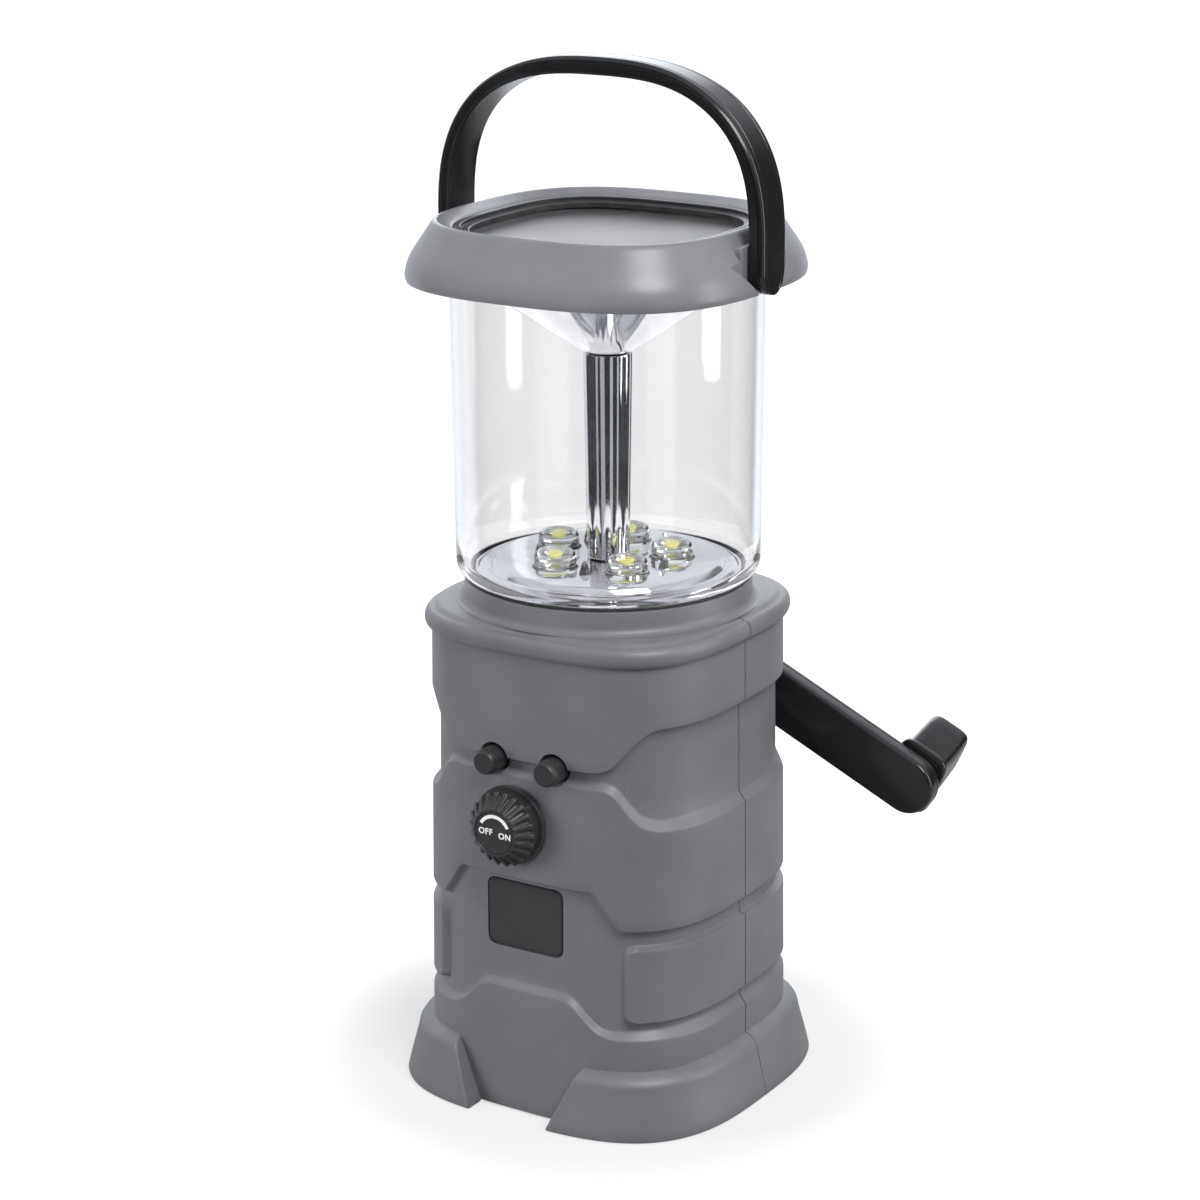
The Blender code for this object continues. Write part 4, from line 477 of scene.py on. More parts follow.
def settle(piece: bpy.types.Object, material: bpy.types.Material, body: str,
           nodes: tuple[str, ...] = (), angle: float = SMOOTH_ANGLE) -> bpy.types.Object:
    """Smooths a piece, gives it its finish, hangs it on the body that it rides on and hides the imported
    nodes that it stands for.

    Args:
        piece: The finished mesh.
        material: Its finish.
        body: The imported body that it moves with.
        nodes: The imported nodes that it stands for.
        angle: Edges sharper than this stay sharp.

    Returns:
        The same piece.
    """
    take_up(piece)
    bpy.ops.object.shade_smooth_by_angle(angle=angle)
    piece.data.materials.clear()
    piece.data.materials.append(material)
    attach(piece, body)
    if nodes:
        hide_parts(*nodes)
    piece.select_set(False)
    log.info("%s: %d faces, rides on %s", piece.name, len(piece.data.polygons), body)
    return piece


# Finishes

class Sheet:
    """A node tree that is being filled in, for a material or a group."""

    def __init__(self, tree: bpy.types.NodeTree) -> None:
        """Takes up an empty tree."""
        self.tree = tree
        tree.nodes.clear()

    def add(self, kind: str, **values: object) -> bpy.types.Node:
        """Adds a node.

        Args:
            kind: The node's type.
            values: Properties by name; other names are inputs, with _ for a space.

        Returns:
            The node.
        """
        node = self.tree.nodes.new(kind)
        for name, value in values.items():
            if hasattr(node, name):
                setattr(node, name, value)
            else:
                self.feed(node.inputs[name.replace("_", " ")], value)
        return node

    def feed(self, socket: bpy.types.NodeSocket, value: object) -> None:
        """Sets a socket to a plain value, or links an output to it."""
        if isinstance(value, bpy.types.NodeSocket):
            self.tree.links.new(value, socket)
        elif isinstance(value, tuple) and len(value) == 3 and socket.type == "RGBA":
            socket.default_value = (*value, 1.0)
        else:
            socket.default_value = value

    def sums(self, operation: str, first: object, second: object = 0.0, third: object = 0.0,
             clamp: bool = False) -> bpy.types.NodeSocket:
        """Adds a Math node.

        Args:
            operation: What it does.
            first, second, third: Its inputs, plain or linked.
            clamp: Whether the result is kept between 0 and 1.

        Returns:
            Its result.
        """
        node = self.tree.nodes.new("ShaderNodeMath")
        node.operation = operation
        node.use_clamp = clamp
        for socket, value in zip(node.inputs, (first, second, third)):
            self.feed(socket, value)
        return node.outputs[0]

    def ramp(self, value: object, low: float, high: float, bottom: float = 0.0,
             top: float = 1.0) -> bpy.types.NodeSocket:
        """Maps a value smoothly from one range to another.

        Args:
            value: What is mapped.
            low, high: The range read.
            bottom, top: The range given.

        Returns:
            The mapped value.
        """
        node = self.add("ShaderNodeMapRange", interpolation_type="SMOOTHSTEP")
        for name, item in (("Value", value), ("From Min", low), ("From Max", high), ("To Min", bottom),
                           ("To Max", top)):
            self.feed(node.inputs[name], item)
        return node.outputs["Result"]

    def mix(self, share: object, first: object, second: object) -> bpy.types.NodeSocket:
        """Mixes two colours.

        Args:
            share: How much of the second is taken.
            first, second: The colours, plain or linked.

        Returns:
            The mixed colour.
        """
        node = self.tree.nodes.new("ShaderNodeMix")
        node.data_type = "RGBA"
        self.feed(node.inputs["Factor"], share)
        for key, value in ((6, first), (7, second)):
            self.feed(node.inputs[key], value)
        return node.outputs[2]


class Effect(Enum):
    """Shared effects, each a node group built once."""

    GRAIN = "moulded_grain"
    WEAR = "edge_wear"
    DUST = "settled_dust"
    LINES = "drawn_lines"


class Effects:
    """Builds the shared node groups."""

    def __init__(self) -> None:
        """Builds every group."""
        self.groups = {
            Effect.GRAIN: self.grain(),
            Effect.WEAR: self.wear(),
            Effect.DUST: self.dust(),
            Effect.LINES: self.lines(),
        }

    def start(self, effect: Effect, inputs: dict[str, float], outputs: tuple[str, ...]) -> tuple:
        """Starts a group.

        Args:
            effect: Which group it is.
            inputs: Its number inputs and their usual values; a Vector input comes first.
            outputs: Its outputs.

        Returns:
            The sheet to fill in, the group's inputs and its output node.
        """
        tree = bpy.data.node_groups.new(effect.value, "ShaderNodeTree")
        tree.interface.new_socket("Vector", in_out="INPUT", socket_type="NodeSocketVector")
        for name, value in inputs.items():
            socket = tree.interface.new_socket(name, in_out="INPUT", socket_type="NodeSocketFloat")
            socket.default_value = value
        for name in outputs:
            tree.interface.new_socket(name, in_out="OUTPUT", socket_type="NodeSocketFloat")
        sheet = Sheet(tree)
        return sheet, sheet.add("NodeGroupInput").outputs, sheet.add("NodeGroupOutput")

    def grain(self) -> bpy.types.NodeTree:
        """Fine moulded texture: small pits, with slow changes of tone over the part."""
        sheet, given, out = self.start(Effect.GRAIN, {"Scale": 4000.0, "Patches": 60.0},
                                       ("Height", "Tone", "Gloss"))
        fine = sheet.add("ShaderNodeTexNoise", Vector=given["Vector"], Scale=given["Scale"], Detail=2.0,
                         Roughness=0.55)
        cells = sheet.add("ShaderNodeTexVoronoi", Vector=given["Vector"], Scale=given["Scale"])
        slow = sheet.add("ShaderNodeTexNoise", Vector=given["Vector"], Scale=given["Patches"], Detail=3.0)
        pits = sheet.sums("MULTIPLY_ADD", cells.outputs["Distance"], 0.5, fine.outputs[0])
        sheet.feed(out.inputs["Height"], pits)
        sheet.feed(out.inputs["Tone"], sheet.ramp(slow.outputs[0], 0.3, 0.7))
        sheet.feed(out.inputs["Gloss"], sheet.ramp(fine.outputs[0], 0.3, 0.7))
        return sheet.tree

    def wear(self) -> bpy.types.NodeTree:
        """Rubbed edges with a painted edge highlight: lighter where the surface turns sharply outwards,
        broken up by noise.
        """
        inputs = {"Start": 0.52, "Width": 0.06, "Scale": 300.0}
        sheet, given, out = self.start(Effect.WEAR, inputs, ("Mask",))
        shape = sheet.add("ShaderNodeNewGeometry")
        noise = sheet.add("ShaderNodeTexNoise", Vector=given["Vector"], Scale=given["Scale"], Detail=4.0)
        end = sheet.sums("ADD", given["Start"], given["Width"])
        # Mask of sharp edges: rubbed wear and a painted highlight along the bevels
        edge = sheet.ramp(shape.outputs["Pointiness"], given["Start"], end)
        broken = sheet.ramp(noise.outputs[0], 0.38, 0.62, 0.35, 1.0)
        sheet.feed(out.inputs["Mask"], sheet.sums("MULTIPLY", edge, broken))
        return sheet.tree

    def dust(self) -> bpy.types.NodeTree:
        """Thin dust on what faces up."""
        sheet, given, out = self.start(Effect.DUST, {"Amount": 0.3, "Scale": 220.0}, ("Mask",))
        shape = sheet.add("ShaderNodeNewGeometry")
        up = sheet.add("ShaderNodeSeparateXYZ", Vector=shape.outputs["Normal"]).outputs["Z"]
        noise = sheet.add("ShaderNodeTexNoise", Vector=given["Vector"], Scale=given["Scale"], Detail=6.0)
        lying = sheet.ramp(up, 0.45, 1.0)
        speck = sheet.ramp(noise.outputs[0], 0.4, 0.75)
        sheet.feed(out.inputs["Mask"], sheet.sums("MULTIPLY", sheet.sums("MULTIPLY", lying, speck),
                                                  given["Amount"]))
        return sheet.tree

    def lines(self) -> bpy.types.NodeTree:
        """Fine lines drawn along one direction, which the vector's scale sets."""
        sheet, given, out = self.start(Effect.LINES, {"Scale": 500.0, "Fade": 40.0}, ("Height", "Tone"))
        fine = sheet.add("ShaderNodeTexNoise", Vector=given["Vector"], Scale=given["Scale"], Detail=3.0)
        slow = sheet.add("ShaderNodeTexNoise", Vector=given["Vector"], Scale=given["Fade"], Detail=2.0)
        sheet.feed(out.inputs["Height"], fine.outputs[0])
        sheet.feed(out.inputs["Tone"], sheet.sums("MULTIPLY", sheet.ramp(fine.outputs[0], 0.35, 0.65),
                                                  sheet.ramp(slow.outputs[0], 0.3, 0.7)))
        return sheet.tree


class Surface(Sheet):
    """A material with one plain shader, and the shared effects that feed it."""

    def __init__(self, name: str, effects: Effects) -> None:
        """Starts a material with its shader and its place on the object."""
        self.material = bpy.data.materials.new(name)
        self.material.use_nodes = True
        super().__init__(self.material.node_tree)
        self.effects = effects
        self.place = self.add("ShaderNodeTexCoord").outputs["Object"]
        self.skin = self.add("ShaderNodeBsdfPrincipled")
        self.out = self.add("ShaderNodeOutputMaterial")
        self.feed(self.out.inputs["Surface"], self.skin.outputs[0])

    def effect(self, effect: Effect, **values: object) -> bpy.types.bpy_prop_collection:
        """Places a shared effect.

        Args:
            effect: Which one.
            values: Its inputs.

        Returns:
            Its outputs.
        """
        node = self.add("ShaderNodeGroup", node_tree=self.effects.groups[effect])
        values.setdefault("Vector", self.place)
        for name, value in values.items():
            self.feed(node.inputs[name], value)
        return node.outputs

    def mapped(self, scale: tuple[float, float, float]) -> bpy.types.NodeSocket:
        """Stretches the object's own coordinates along each axis."""
        node = self.add("ShaderNodeMapping", Vector=self.place)
        node.inputs["Scale"].default_value = scale
        return node.outputs[0]

    def give(self, **values: object) -> None:
        """Sets the shader's own inputs, plain or linked, by name with _ for a space."""
        for name, value in values.items():
            self.feed(self.skin.inputs[name.replace("_", " ")], value)

    def raise_by(self, height: bpy.types.NodeSocket, depth: float, strength: float = 1.0) -> None:
        """Feeds a height in millimetres to the shader's normal."""
        bump = self.add("ShaderNodeBump", Height=height)
        bump.inputs["Strength"].default_value = strength
        bump.inputs["Distance"].default_value = depth * MM
        self.feed(self.skin.inputs["Normal"], bump.outputs[0])


class Finish:
    """What the finishes share: each has a name, and fills in a material of its own."""

    name: str

    def make(self, effects: Effects) -> bpy.types.Material:
        """Builds the material with the shared effects."""
        sheet = Surface(self.name, effects)
        self.fill(sheet)
        return sheet.material

    def fill(self, sheet: Surface) -> None:
        """Joins the material's nodes."""
        raise NotImplementedError


@dataclass(frozen=True)
class Moulding(Finish):
    """Finish of a moulded plastic part."""

    name: str
    colour: Colour
    roughness: float
    specular: float = 0.5
    grain_scale: float = 4200.0
    grain_depth: float = 0.02
    grain_strength: float = 0.25
    tone: float = 0.06
    gloss_change: float = 0.06
    # How far the edges are lightened, as rubbed wear and as a painted edge highlight
    wear: float = 0.25
    wear_and_highlight_lift: float = 1.5
    dust: float = 0.06
    lined: float = 0.0

    def fill(self, sheet: Surface) -> None:
        """Joins its nodes."""
        grain = sheet.effect(Effect.GRAIN, Scale=self.grain_scale)
        wear = sheet.effect(Effect.WEAR)["Mask"]
        dust = sheet.effect(Effect.DUST, Amount=self.dust)["Mask"]
        low = tuple(c * (1.0 - self.tone) for c in self.colour)
        high = tuple(c * (1.0 + self.tone) for c in self.colour)
        # Lighter edge colour: partly rubbed wear, partly a painted highlight along the bevels
        rubbed_and_lit = tuple(min(c * self.wear_and_highlight_lift + 0.01, 1.0) for c in self.colour)
        colour = sheet.mix(grain["Tone"], low, high)
        colour = sheet.mix(sheet.sums("MULTIPLY", wear, self.wear), colour, rubbed_and_lit)
        colour = sheet.mix(dust, colour, DUST)
        rough = sheet.sums("MULTIPLY_ADD", grain["Gloss"], self.gloss_change,
                           self.roughness - self.gloss_change / 2.0)
        rough = sheet.sums("MULTIPLY_ADD", wear, -0.08 * self.wear, rough)
        rough = sheet.sums("MULTIPLY_ADD", dust, 0.5, rough, clamp=True)
        height = grain["Height"]
        if self.lined > 0.0:
            lines = sheet.effect(Effect.LINES, Vector=sheet.mapped((0.05, 0.05, 8.0)), Scale=900.0)
            height = sheet.sums("MULTIPLY_ADD", lines["Height"], self.lined, height)
        sheet.raise_by(height, self.grain_depth, self.grain_strength)
        sheet.give(Base_Color=colour, Roughness=rough, Specular_IOR_Level=self.specular)


@dataclass(frozen=True)
class Metal(Finish):
    """Finish of a plated, turned or drawn metal part."""

    name: str
    colour: Colour
    roughness: float
    line_scale: tuple[float, float, float] = (1.0, 1.0, 12.0)
    line_depth: float = 0.004
    line_strength: float = 0.15
    tarnish: float = 0.05

    def fill(self, sheet: Surface) -> None:
        """Joins its nodes."""
        lines = sheet.effect(Effect.LINES, Vector=sheet.mapped(self.line_scale), Scale=600.0)
        grain = sheet.effect(Effect.GRAIN, Scale=1500.0, Patches=120.0)
        dust = sheet.effect(Effect.DUST, Amount=0.05)["Mask"]
        dull = tuple(c * (1.0 - self.tarnish) for c in self.colour)
        colour = sheet.mix(grain["Tone"], self.colour, dull)
        colour = sheet.mix(dust, colour, DUST)
        rough = sheet.sums("MULTIPLY_ADD", lines["Tone"], 0.05, self.roughness)
        rough = sheet.sums("MULTIPLY_ADD", dust, 0.4, rough, clamp=True)
        sheet.raise_by(lines["Height"], self.line_depth, self.line_strength)
        sheet.give(Base_Color=colour, Roughness=rough, Metallic=1.0)


@dataclass(frozen=True)
class Clear(Finish):
    """Finish of a clear plastic part, which lets the light through to what it covers."""

    name: str
    colour: Colour
    roughness: float = 0.02
    wave: float = 0.02
    ior: float = 1.47
    shade: float = 0.12

    def fill(self, sheet: Surface) -> None:
        """Joins its nodes."""
        grain = sheet.effect(Effect.GRAIN, Scale=55.0, Patches=25.0)
        dust = sheet.effect(Effect.DUST, Amount=0.04)["Mask"]
        tint = tuple(c * 0.985 for c in self.colour)
        rough = sheet.sums("MULTIPLY_ADD", grain["Tone"], 0.015, self.roughness)
        sheet.give(Base_Color=sheet.mix(grain["Tone"], self.colour, tint),
                   Roughness=sheet.sums("ADD", rough, dust, clamp=True),
                   Transmission_Weight=1.0, IOR=self.ior)
        sheet.raise_by(grain["Height"], self.wave, 0.1)
        path = sheet.add("ShaderNodeLightPath")
        through = sheet.add("ShaderNodeBsdfTransparent", Color=(1.0 - self.shade,) * 3)
        unlit = sheet.sums("MAXIMUM", path.outputs["Is Shadow Ray"], path.outputs["Is Diffuse Ray"])
        blend = sheet.add("ShaderNodeMixShader", Fac=unlit)
        sheet.feed(blend.inputs[1], sheet.skin.outputs[0])
        sheet.feed(blend.inputs[2], through.outputs[0])
        sheet.feed(sheet.out.inputs["Surface"], blend.outputs[0])


@dataclass(frozen=True)
class Cells(Finish):
    """Finish of the solar cells: dark brown, with fine lines and wider rows."""

    name: str
    colour: Colour = (0.11, 0.094, 0.094)
    line: Colour = (0.24, 0.215, 0.21)
    rows_per_metre: float = 900.0
    gaps_per_metre: float = 90.0

    def fill(self, sheet: Surface) -> None:
        """Joins its nodes."""
        grain = sheet.effect(Effect.GRAIN, Scale=2500.0, Patches=90.0)
        place = sheet.add("ShaderNodeSeparateXYZ", Vector=sheet.place).outputs
        colour = sheet.mix(grain["Tone"], self.colour, tuple(c * 0.8 for c in self.colour))
        lines = []
        for axis, per_metre, shift, low, high, share in (
                ("Y", self.rows_per_metre, 0.0, 0.28, 0.5, 0.45),
                ("X", self.gaps_per_metre, 0.5, 0.47, 0.49, 0.5)):
            way = sheet.sums("FRACT", sheet.sums("MULTIPLY_ADD", place[axis], per_metre, shift))
            off = sheet.sums("ABSOLUTE", sheet.sums("SUBTRACT", way, 0.5))
            lines.append(sheet.ramp(off, low, high))
            colour = sheet.mix(sheet.sums("MULTIPLY", lines[-1], share), colour, self.line)
        sheet.give(Base_Color=colour, Roughness=sheet.sums("MULTIPLY_ADD", grain["Gloss"], 0.1, 0.3))
        sheet.raise_by(sheet.sums("ADD", *lines), 0.02, 0.3)


@dataclass(frozen=True)
class Glow(Finish):
    """Finish of a lamp's yellow chip."""

    name: str
    colour: Colour = (0.86, 0.82, 0.28)

    def fill(self, sheet: Surface) -> None:
        """Joins its nodes."""
        grain = sheet.effect(Effect.GRAIN, Scale=6000.0, Patches=900.0)
        pale = tuple(min(c * 1.12, 1.0) for c in self.colour)
        colour = sheet.mix(grain["Tone"], self.colour, pale)
        sheet.give(Base_Color=colour, Emission_Color=colour, Emission_Strength=0.25,
                   Roughness=sheet.sums("MULTIPLY_ADD", grain["Gloss"], 0.1, 0.4))
        sheet.raise_by(grain["Height"], 0.02, 0.2)


class Finishes:
    """Every material of the lantern, by the record's slot and by name."""

    def __init__(self) -> None:
        """Builds the shared effects and all the materials."""
        effects = Effects()
        self.body = Moulding("body_grey_moulded", (0.150, 0.153, 0.163), 0.44, grain_scale=3200.0,
                             grain_depth=0.03, grain_strength=0.5).make(effects)
        self.cap = Moulding("cap_grey_satin", (0.184, 0.188, 0.203), 0.34, grain_strength=0.15,
                            lined=1.2).make(effects)
        # The blacks get much lighter edges: rubbed wear and a painted edge highlight
        self.gloss = Moulding("gloss_black_moulded", (0.011, 0.011, 0.012), 0.2, specular=0.42,
                              grain_scale=900.0, grain_strength=0.05, dust=0.02, wear=0.2,
                              wear_and_highlight_lift=2.5).make(effects)
        self.matt = Moulding("matt_black_moulded", (0.022, 0.022, 0.023), 0.42, specular=0.45, wear=0.5,
                             wear_and_highlight_lift=3.0, dust=0.03).make(effects)
        self.cover = Moulding("port_cover_rubber", (0.035, 0.036, 0.037), 0.58, specular=0.4,
                              grain_strength=0.4, dust=0.03).make(effects)
        self.rubber = Moulding("black_rubber", (0.018, 0.018, 0.018), 0.62, dust=0.0).make(effects)
        self.white = Moulding("white_plastic", (0.72, 0.72, 0.70), 0.4, wear=0.0).make(effects)
        self.print = Moulding(
            "white_print", (0.85, 0.85, 0.84), 0.5, wear=0.0, grain_strength=0.1).make(effects)
        self.board = Moulding("circuit_board", (0.03, 0.16, 0.06), 0.35, grain_strength=0.1,
                              tone=0.2).make(effects)
        self.sleeve = Moulding("cell_sleeve", (0.05, 0.16, 0.33), 0.3, grain_strength=0.05).make(effects)
        self.chrome = Metal("chrome_plate", (0.80, 0.80, 0.82), 0.05, tarnish=0.08).make(effects)
        self.steel = Metal("bright_steel", (0.6, 0.6, 0.6), 0.25).make(effects)
        self.brass = Metal("turned_brass", (0.7, 0.52, 0.22), 0.28).make(effects)
        self.clear = Clear("clear_globe", (0.9, 0.896, 0.9)).make(effects)
        self.window = Clear("window_clear", (0.94, 0.93, 0.94), roughness=0.32, ior=1.05).make(effects)
        self.lens = Clear("lamp_lens_clear", (0.96, 0.97, 0.95), ior=1.42, shade=0.2).make(effects)
        self.solar = Cells("solar_cells").make(effects)
        self.chip = Glow("yellow_chip").make(effects)
        self.by_slot = {
            Slot.BODY: self.body, Slot.CAP: self.cap, Slot.GLOSS: self.gloss, Slot.MATT: self.matt,
            Slot.RUBBER: self.rubber, Slot.CLEAR: self.clear, Slot.CHROME: self.chrome,
            Slot.STEEL: self.steel, Slot.BRASS: self.brass, Slot.LENS: self.lens, Slot.SOLAR: self.solar,
            Slot.BOARD: self.board, Slot.SLEEVE: self.sleeve, Slot.WHITE: self.white,
        }

    def dress_nodes(self) -> None:
        """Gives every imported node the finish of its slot."""
        finishes = {slot.value: material for slot, material in self.by_slot.items()}
        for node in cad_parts.values():
            for holder in node.material_slots:
                name = holder.material.name.split(".")[0] if holder.material else ""
                if name in finishes:
                    holder.material = finishes[name]
                else:
                    log.info("%s has no finish for %s", node.name, name)


# The body

@dataclass
class Edge:
    """Where one raised mass of the body ends, as seen from the front."""

    places: tuple[float, ...]
    heights: tuple[float, ...]
    rounding: float = 0.75

    def at(self, across: np.ndarray) -> np.ndarray:
        """Height of the edge at distances from the middle, with its corners eased.

        Args:
            across: Distances from the middle, in millimetres.

        Returns:
            The heights.
        """
        spread = np.linspace(-2.0, 2.0, 17) * self.rounding
        weight = np.exp(-0.5 * (spread / self.rounding) ** 2)
        reads = np.interp(np.abs(across)[..., None] + spread, self.places, self.heights)
        return (reads * weight).sum(-1) / weight.sum()

    def stretch(self, across: np.ndarray) -> np.ndarray:
        """How much longer than wide a step across the edge is, measured upwards."""
        slope = (self.at(across + 0.2) - self.at(across - 0.2)) / 0.4
        return np.sqrt(1.0 + slope ** 2)


@dataclass
class Body:
    """Front and rear shell: four masses in relief, flared feet, a bead under the deck."""

    finishes: Finishes
    top: float = 106.7
    foot_half: float = 36.0
    taper: float = 1.2
    power: float = 3.14
    relief: float = 1.6
    wall: float = 3.4
    bottom: float = 0.25
    columns: int = 288
    deck_top: float = 111.5
    deck_thickness: float = 2.5
    wire_hole: float = 8.0
    seam: float = 0.22
    upper_edge: Edge = field(default_factory=lambda: Edge(
        (0, 17.5, 20.7, 22.7, 25.5, 28.4, 29.6, 60), (82.4, 82.4, 83.3, 85.4, 89.1, 92.0, 92.4, 92.4)))
    middle_top: Edge = field(default_factory=lambda: Edge(
        (0, 19.6, 21.7, 24.2, 26.5, 29.7, 60), (79.0, 79.0, 77.9, 73.9, 71.0, 69.5, 69.4)))
    middle_low: Edge = field(default_factory=lambda: Edge(
        (0, 17.0, 17.8, 20.4, 23.0, 60), (55.2, 55.2, 54.2, 50.3, 46.8, 46.5), 0.6))
    lower_top: Edge = field(default_factory=lambda: Edge(
        (0, 10.0, 12.2, 15.0, 17.7, 21.0, 60), (29.3, 29.3, 28.2, 25.2, 22.8, 21.7, 21.0), 0.7))
    panel_edge: float = 23.7
    panel_low: float = 25.3
    panel_top: float = 43.2
    panel_corner: float = 2.0
    panel_bevel: float = 0.5
    side_from: float = 20.0
    side_over: float = 9.0
    ledge_more: float = 0.45
    facet_more: float = 0.75
    bead_lift: float = 1.85
    bead_rise: float = 2.15
    bead_reach: float = 1.4
    deck_edge: tuple[Point, ...] = (
        (34.4, 110.7), (33.9, 111.0), (33.3, 111.35), (32.7, 111.5), (31.0, 111.5))
    foot_height: float = 14.6
    foot_edge: float = 0.55
    foot_columns: int = 120
    foot_gap_centre: float = -1.6
    foot_gap_half: float = 10.0
    foot_gap_top_half: float = 16.5
    foot_profile: tuple[Point, ...] = (
        (4.6, 0.0), (5.1, 0.25), (5.3, 0.8), (4.95, 2.6), (4.3, 5.6), (3.65, 8.4), (3.15, 10.6),
        (3.0, 11.5), (2.85, 12.2), (2.4, 12.95), (1.7, 13.6), (0.9, 14.1), (0.0, 14.45),
        (-1.2, 14.7), (-1.4, 7.0), (-1.2, 0.5), (0.5, 0.0))
    boss_radius: float = 8.6
    boss_bore: float = 5.5
    boss_back: float = 30.5
    boss_face: float = 36.2
    inside: float = 26.0
    socket_floor: float = 35.0
    spindle_hole: float = 3.3
    port_gap: float = 0.3
    port_corner: float = 2.5
    screw_head: float = 2.5
    screw_sunk: float = 1.3
    panel_steps: tuple[float, ...] = (-0.35, -0.1, 0.15, 0.4, 0.7, 1.1, 1.6, 2.2)
    panel_rows: tuple[float, ...] = (29.5, 32.0, 34.5, 37.0, 39.3)

    def half(self, height: np.ndarray | float) -> np.ndarray | float:
        """Half width of the body at a height, before its relief."""
        return self.foot_half - self.taper * np.asarray(height) / self.top

    def column_angles(self) -> np.ndarray:
        """Angles of the columns, with more of them at the side panels' ends."""
        angles = list(even_angles(self.power, self.columns))
        dense = np.linspace(0.0, math.pi / 2.0, 4001)
        across = squared_unit(dense, self.power)[:, 0] * self.half(35.0)
        for step in (-0.75, -0.45, -0.2, 0.05, 0.3, 0.55, 0.85, 1.2):
            angle = float(np.interp(-(self.panel_edge + step), -across, dense))
            angles += [angle, math.pi - angle, math.pi + angle, FULL_TURN - angle]
        return np.array(sorted(angles))

    def outside(self, unit: np.ndarray) -> list[tuple[np.ndarray, np.ndarray]]:
        """Rows up the outside, each a height and a half width for every column.

        Args:
            unit: The columns' directions.

        Returns:
            The rows, from the floor to the bead.
        """
        across = np.abs(unit[:, 0]) * float(self.half(60.0))
        side = np.clip((across - self.side_from) / self.side_over, 0.0, 1.0)
        deep = self.relief
        edges = self.lower_top, self.middle_low, self.middle_top, self.upper_edge
        low, mid_low, mid_top, upper = (edge.at(across) for edge in edges)
        k_low, k_mid_low, k_mid_top, k_upper = (edge.stretch(across) for edge in edges)
        rows: list[tuple[np.ndarray, np.ndarray]] = []

        def between(start: np.ndarray, end: np.ndarray, count: int, inset: float) -> None:
            """Adds even rows strictly between two heights."""
            for index in range(1, count + 1):
                share = index / (count + 1)
                rows.append((start + (end - start) * share, np.full_like(across, inset)))

        def step(edge: np.ndarray, stretch: np.ndarray, shape: tuple[Point, ...]) -> None:
            """Adds the rows of one step; each has a rise over the edge and an inset."""
            for rise, inset in shape:
                rows.append((edge + rise * stretch, np.full_like(across, inset)))

        zero = np.zeros_like(across)
        rows += [(zero + self.bottom + rise, zero + inset) for rise, inset in (
            (0.0, 0.5), (0.2, 0.15), (0.6, 0.0))]
        between(zero + self.bottom + 0.6, low - 0.7 * k_low, 9, 0.0)
        ledge = 1.0 + self.ledge_more * side
        upward = ((-0.4, 0.0), (-0.06, 0.05), (0.14, 0.2), (0.6, 0.76), (1.1, 1.3), (1.32, 1.5),
                  (1.6, deep))
        step(low, k_low * ledge, upward)
        start, end = low + 1.8 * k_low * ledge, mid_low - 0.9 * k_mid_low
        side_start = self.lower_top.heights[-1] + 1.8 * (1.0 + self.ledge_more)
        side_end = self.middle_low.heights[-1] - 0.9
        heights = [self.panel_low + rise for rise in self.panel_steps] + list(self.panel_rows)
        heights += [self.panel_top - drop for drop in reversed(self.panel_steps)] + [44.5]
        for height in heights:
            share = (height - side_start) / (side_end - side_start)
            rows.append((start + (end - start) * share, zero + deep))
        downward = ((-0.68, deep), (-0.48, 1.5), (-0.3, 1.25), (-0.05, 0.8), (0.17, 0.3), (0.3, 0.08),
                    (0.55, 0.0))
        step(mid_low, k_mid_low, downward)
        between(mid_low + 0.8 * k_mid_low, mid_top - 0.7 * k_mid_top, 12, 0.0)
        chamfer = 1.0 + self.facet_more * side
        facet = ((-0.4, 0.0), (-0.08, 0.04), (0.08, 0.18), (0.5, 0.7), (0.95, 1.25), (1.15, 1.48),
                 (1.38, deep))
        for rise, inset in facet:
            rows.append((mid_top + rise * k_mid_top * (chamfer if rise > 0 else 1.0), zero + inset))
        between(mid_top + 1.5 * k_mid_top * chamfer, upper - 0.9 * k_upper, 3, deep)
        step(upper, k_upper, downward)
        between(upper + 0.8 * k_upper, zero + self.top - 0.8, 10, 0.0)
        rows += [(zero + self.top - 0.8, zero), (zero + self.top - 0.35, zero + 0.04),
                 (zero + self.top - 0.05, zero + 0.22)]
        made = []
        panel = self.panel_height(across)
        for height, inset in rows:
            raised = panel(height) * inset
            made.append((height, self.half(height) - inset + raised))
        return made

    def panel_height(self, across: np.ndarray) -> object:
        """How far the side panels stand out of their recess, as a function of height.

        Args:
            across: Distance of each column from the middle.

        Returns:
            A function from heights to shares of the recess's depth.
        """
        middle = (self.panel_low + self.panel_top) / 2.0
        tall = (self.panel_top - self.panel_low) / 2.0 - self.panel_corner

        def share(height: np.ndarray) -> np.ndarray:
            """Share of the depth at each column."""
            beyond = np.maximum(np.abs(height - middle) - tall, 0.0)
            before = np.maximum(self.panel_edge + self.panel_corner - across, 0.0)
            inside = self.panel_corner - np.hypot(beyond, before)
            inside = np.clip(inside / self.panel_bevel, 0.0, 1.0)
            return np.where(across > self.panel_edge, inside * inside * (3.0 - 2.0 * inside), 0.0)

        return share

    def rings(self) -> np.ndarray:
        """All rings of the shell, up the outside, over the deck and down the inside."""
        angles = self.column_angles()
        square = squared_unit(angles, self.power)
        circle = squared_unit(angles, 2.0)
        made = []

        def ring(height: np.ndarray | float, half: np.ndarray | float, roundness: float = 0.0) -> None:
            """Adds one ring."""
            unit = square * (1.0 - roundness) + circle * roundness
            spread = np.broadcast_to(np.asarray(half, float), (len(angles),))
            lift = np.broadcast_to(np.asarray(height, float), (len(angles),))
            made.append(np.column_stack([unit * spread[:, None], lift]))

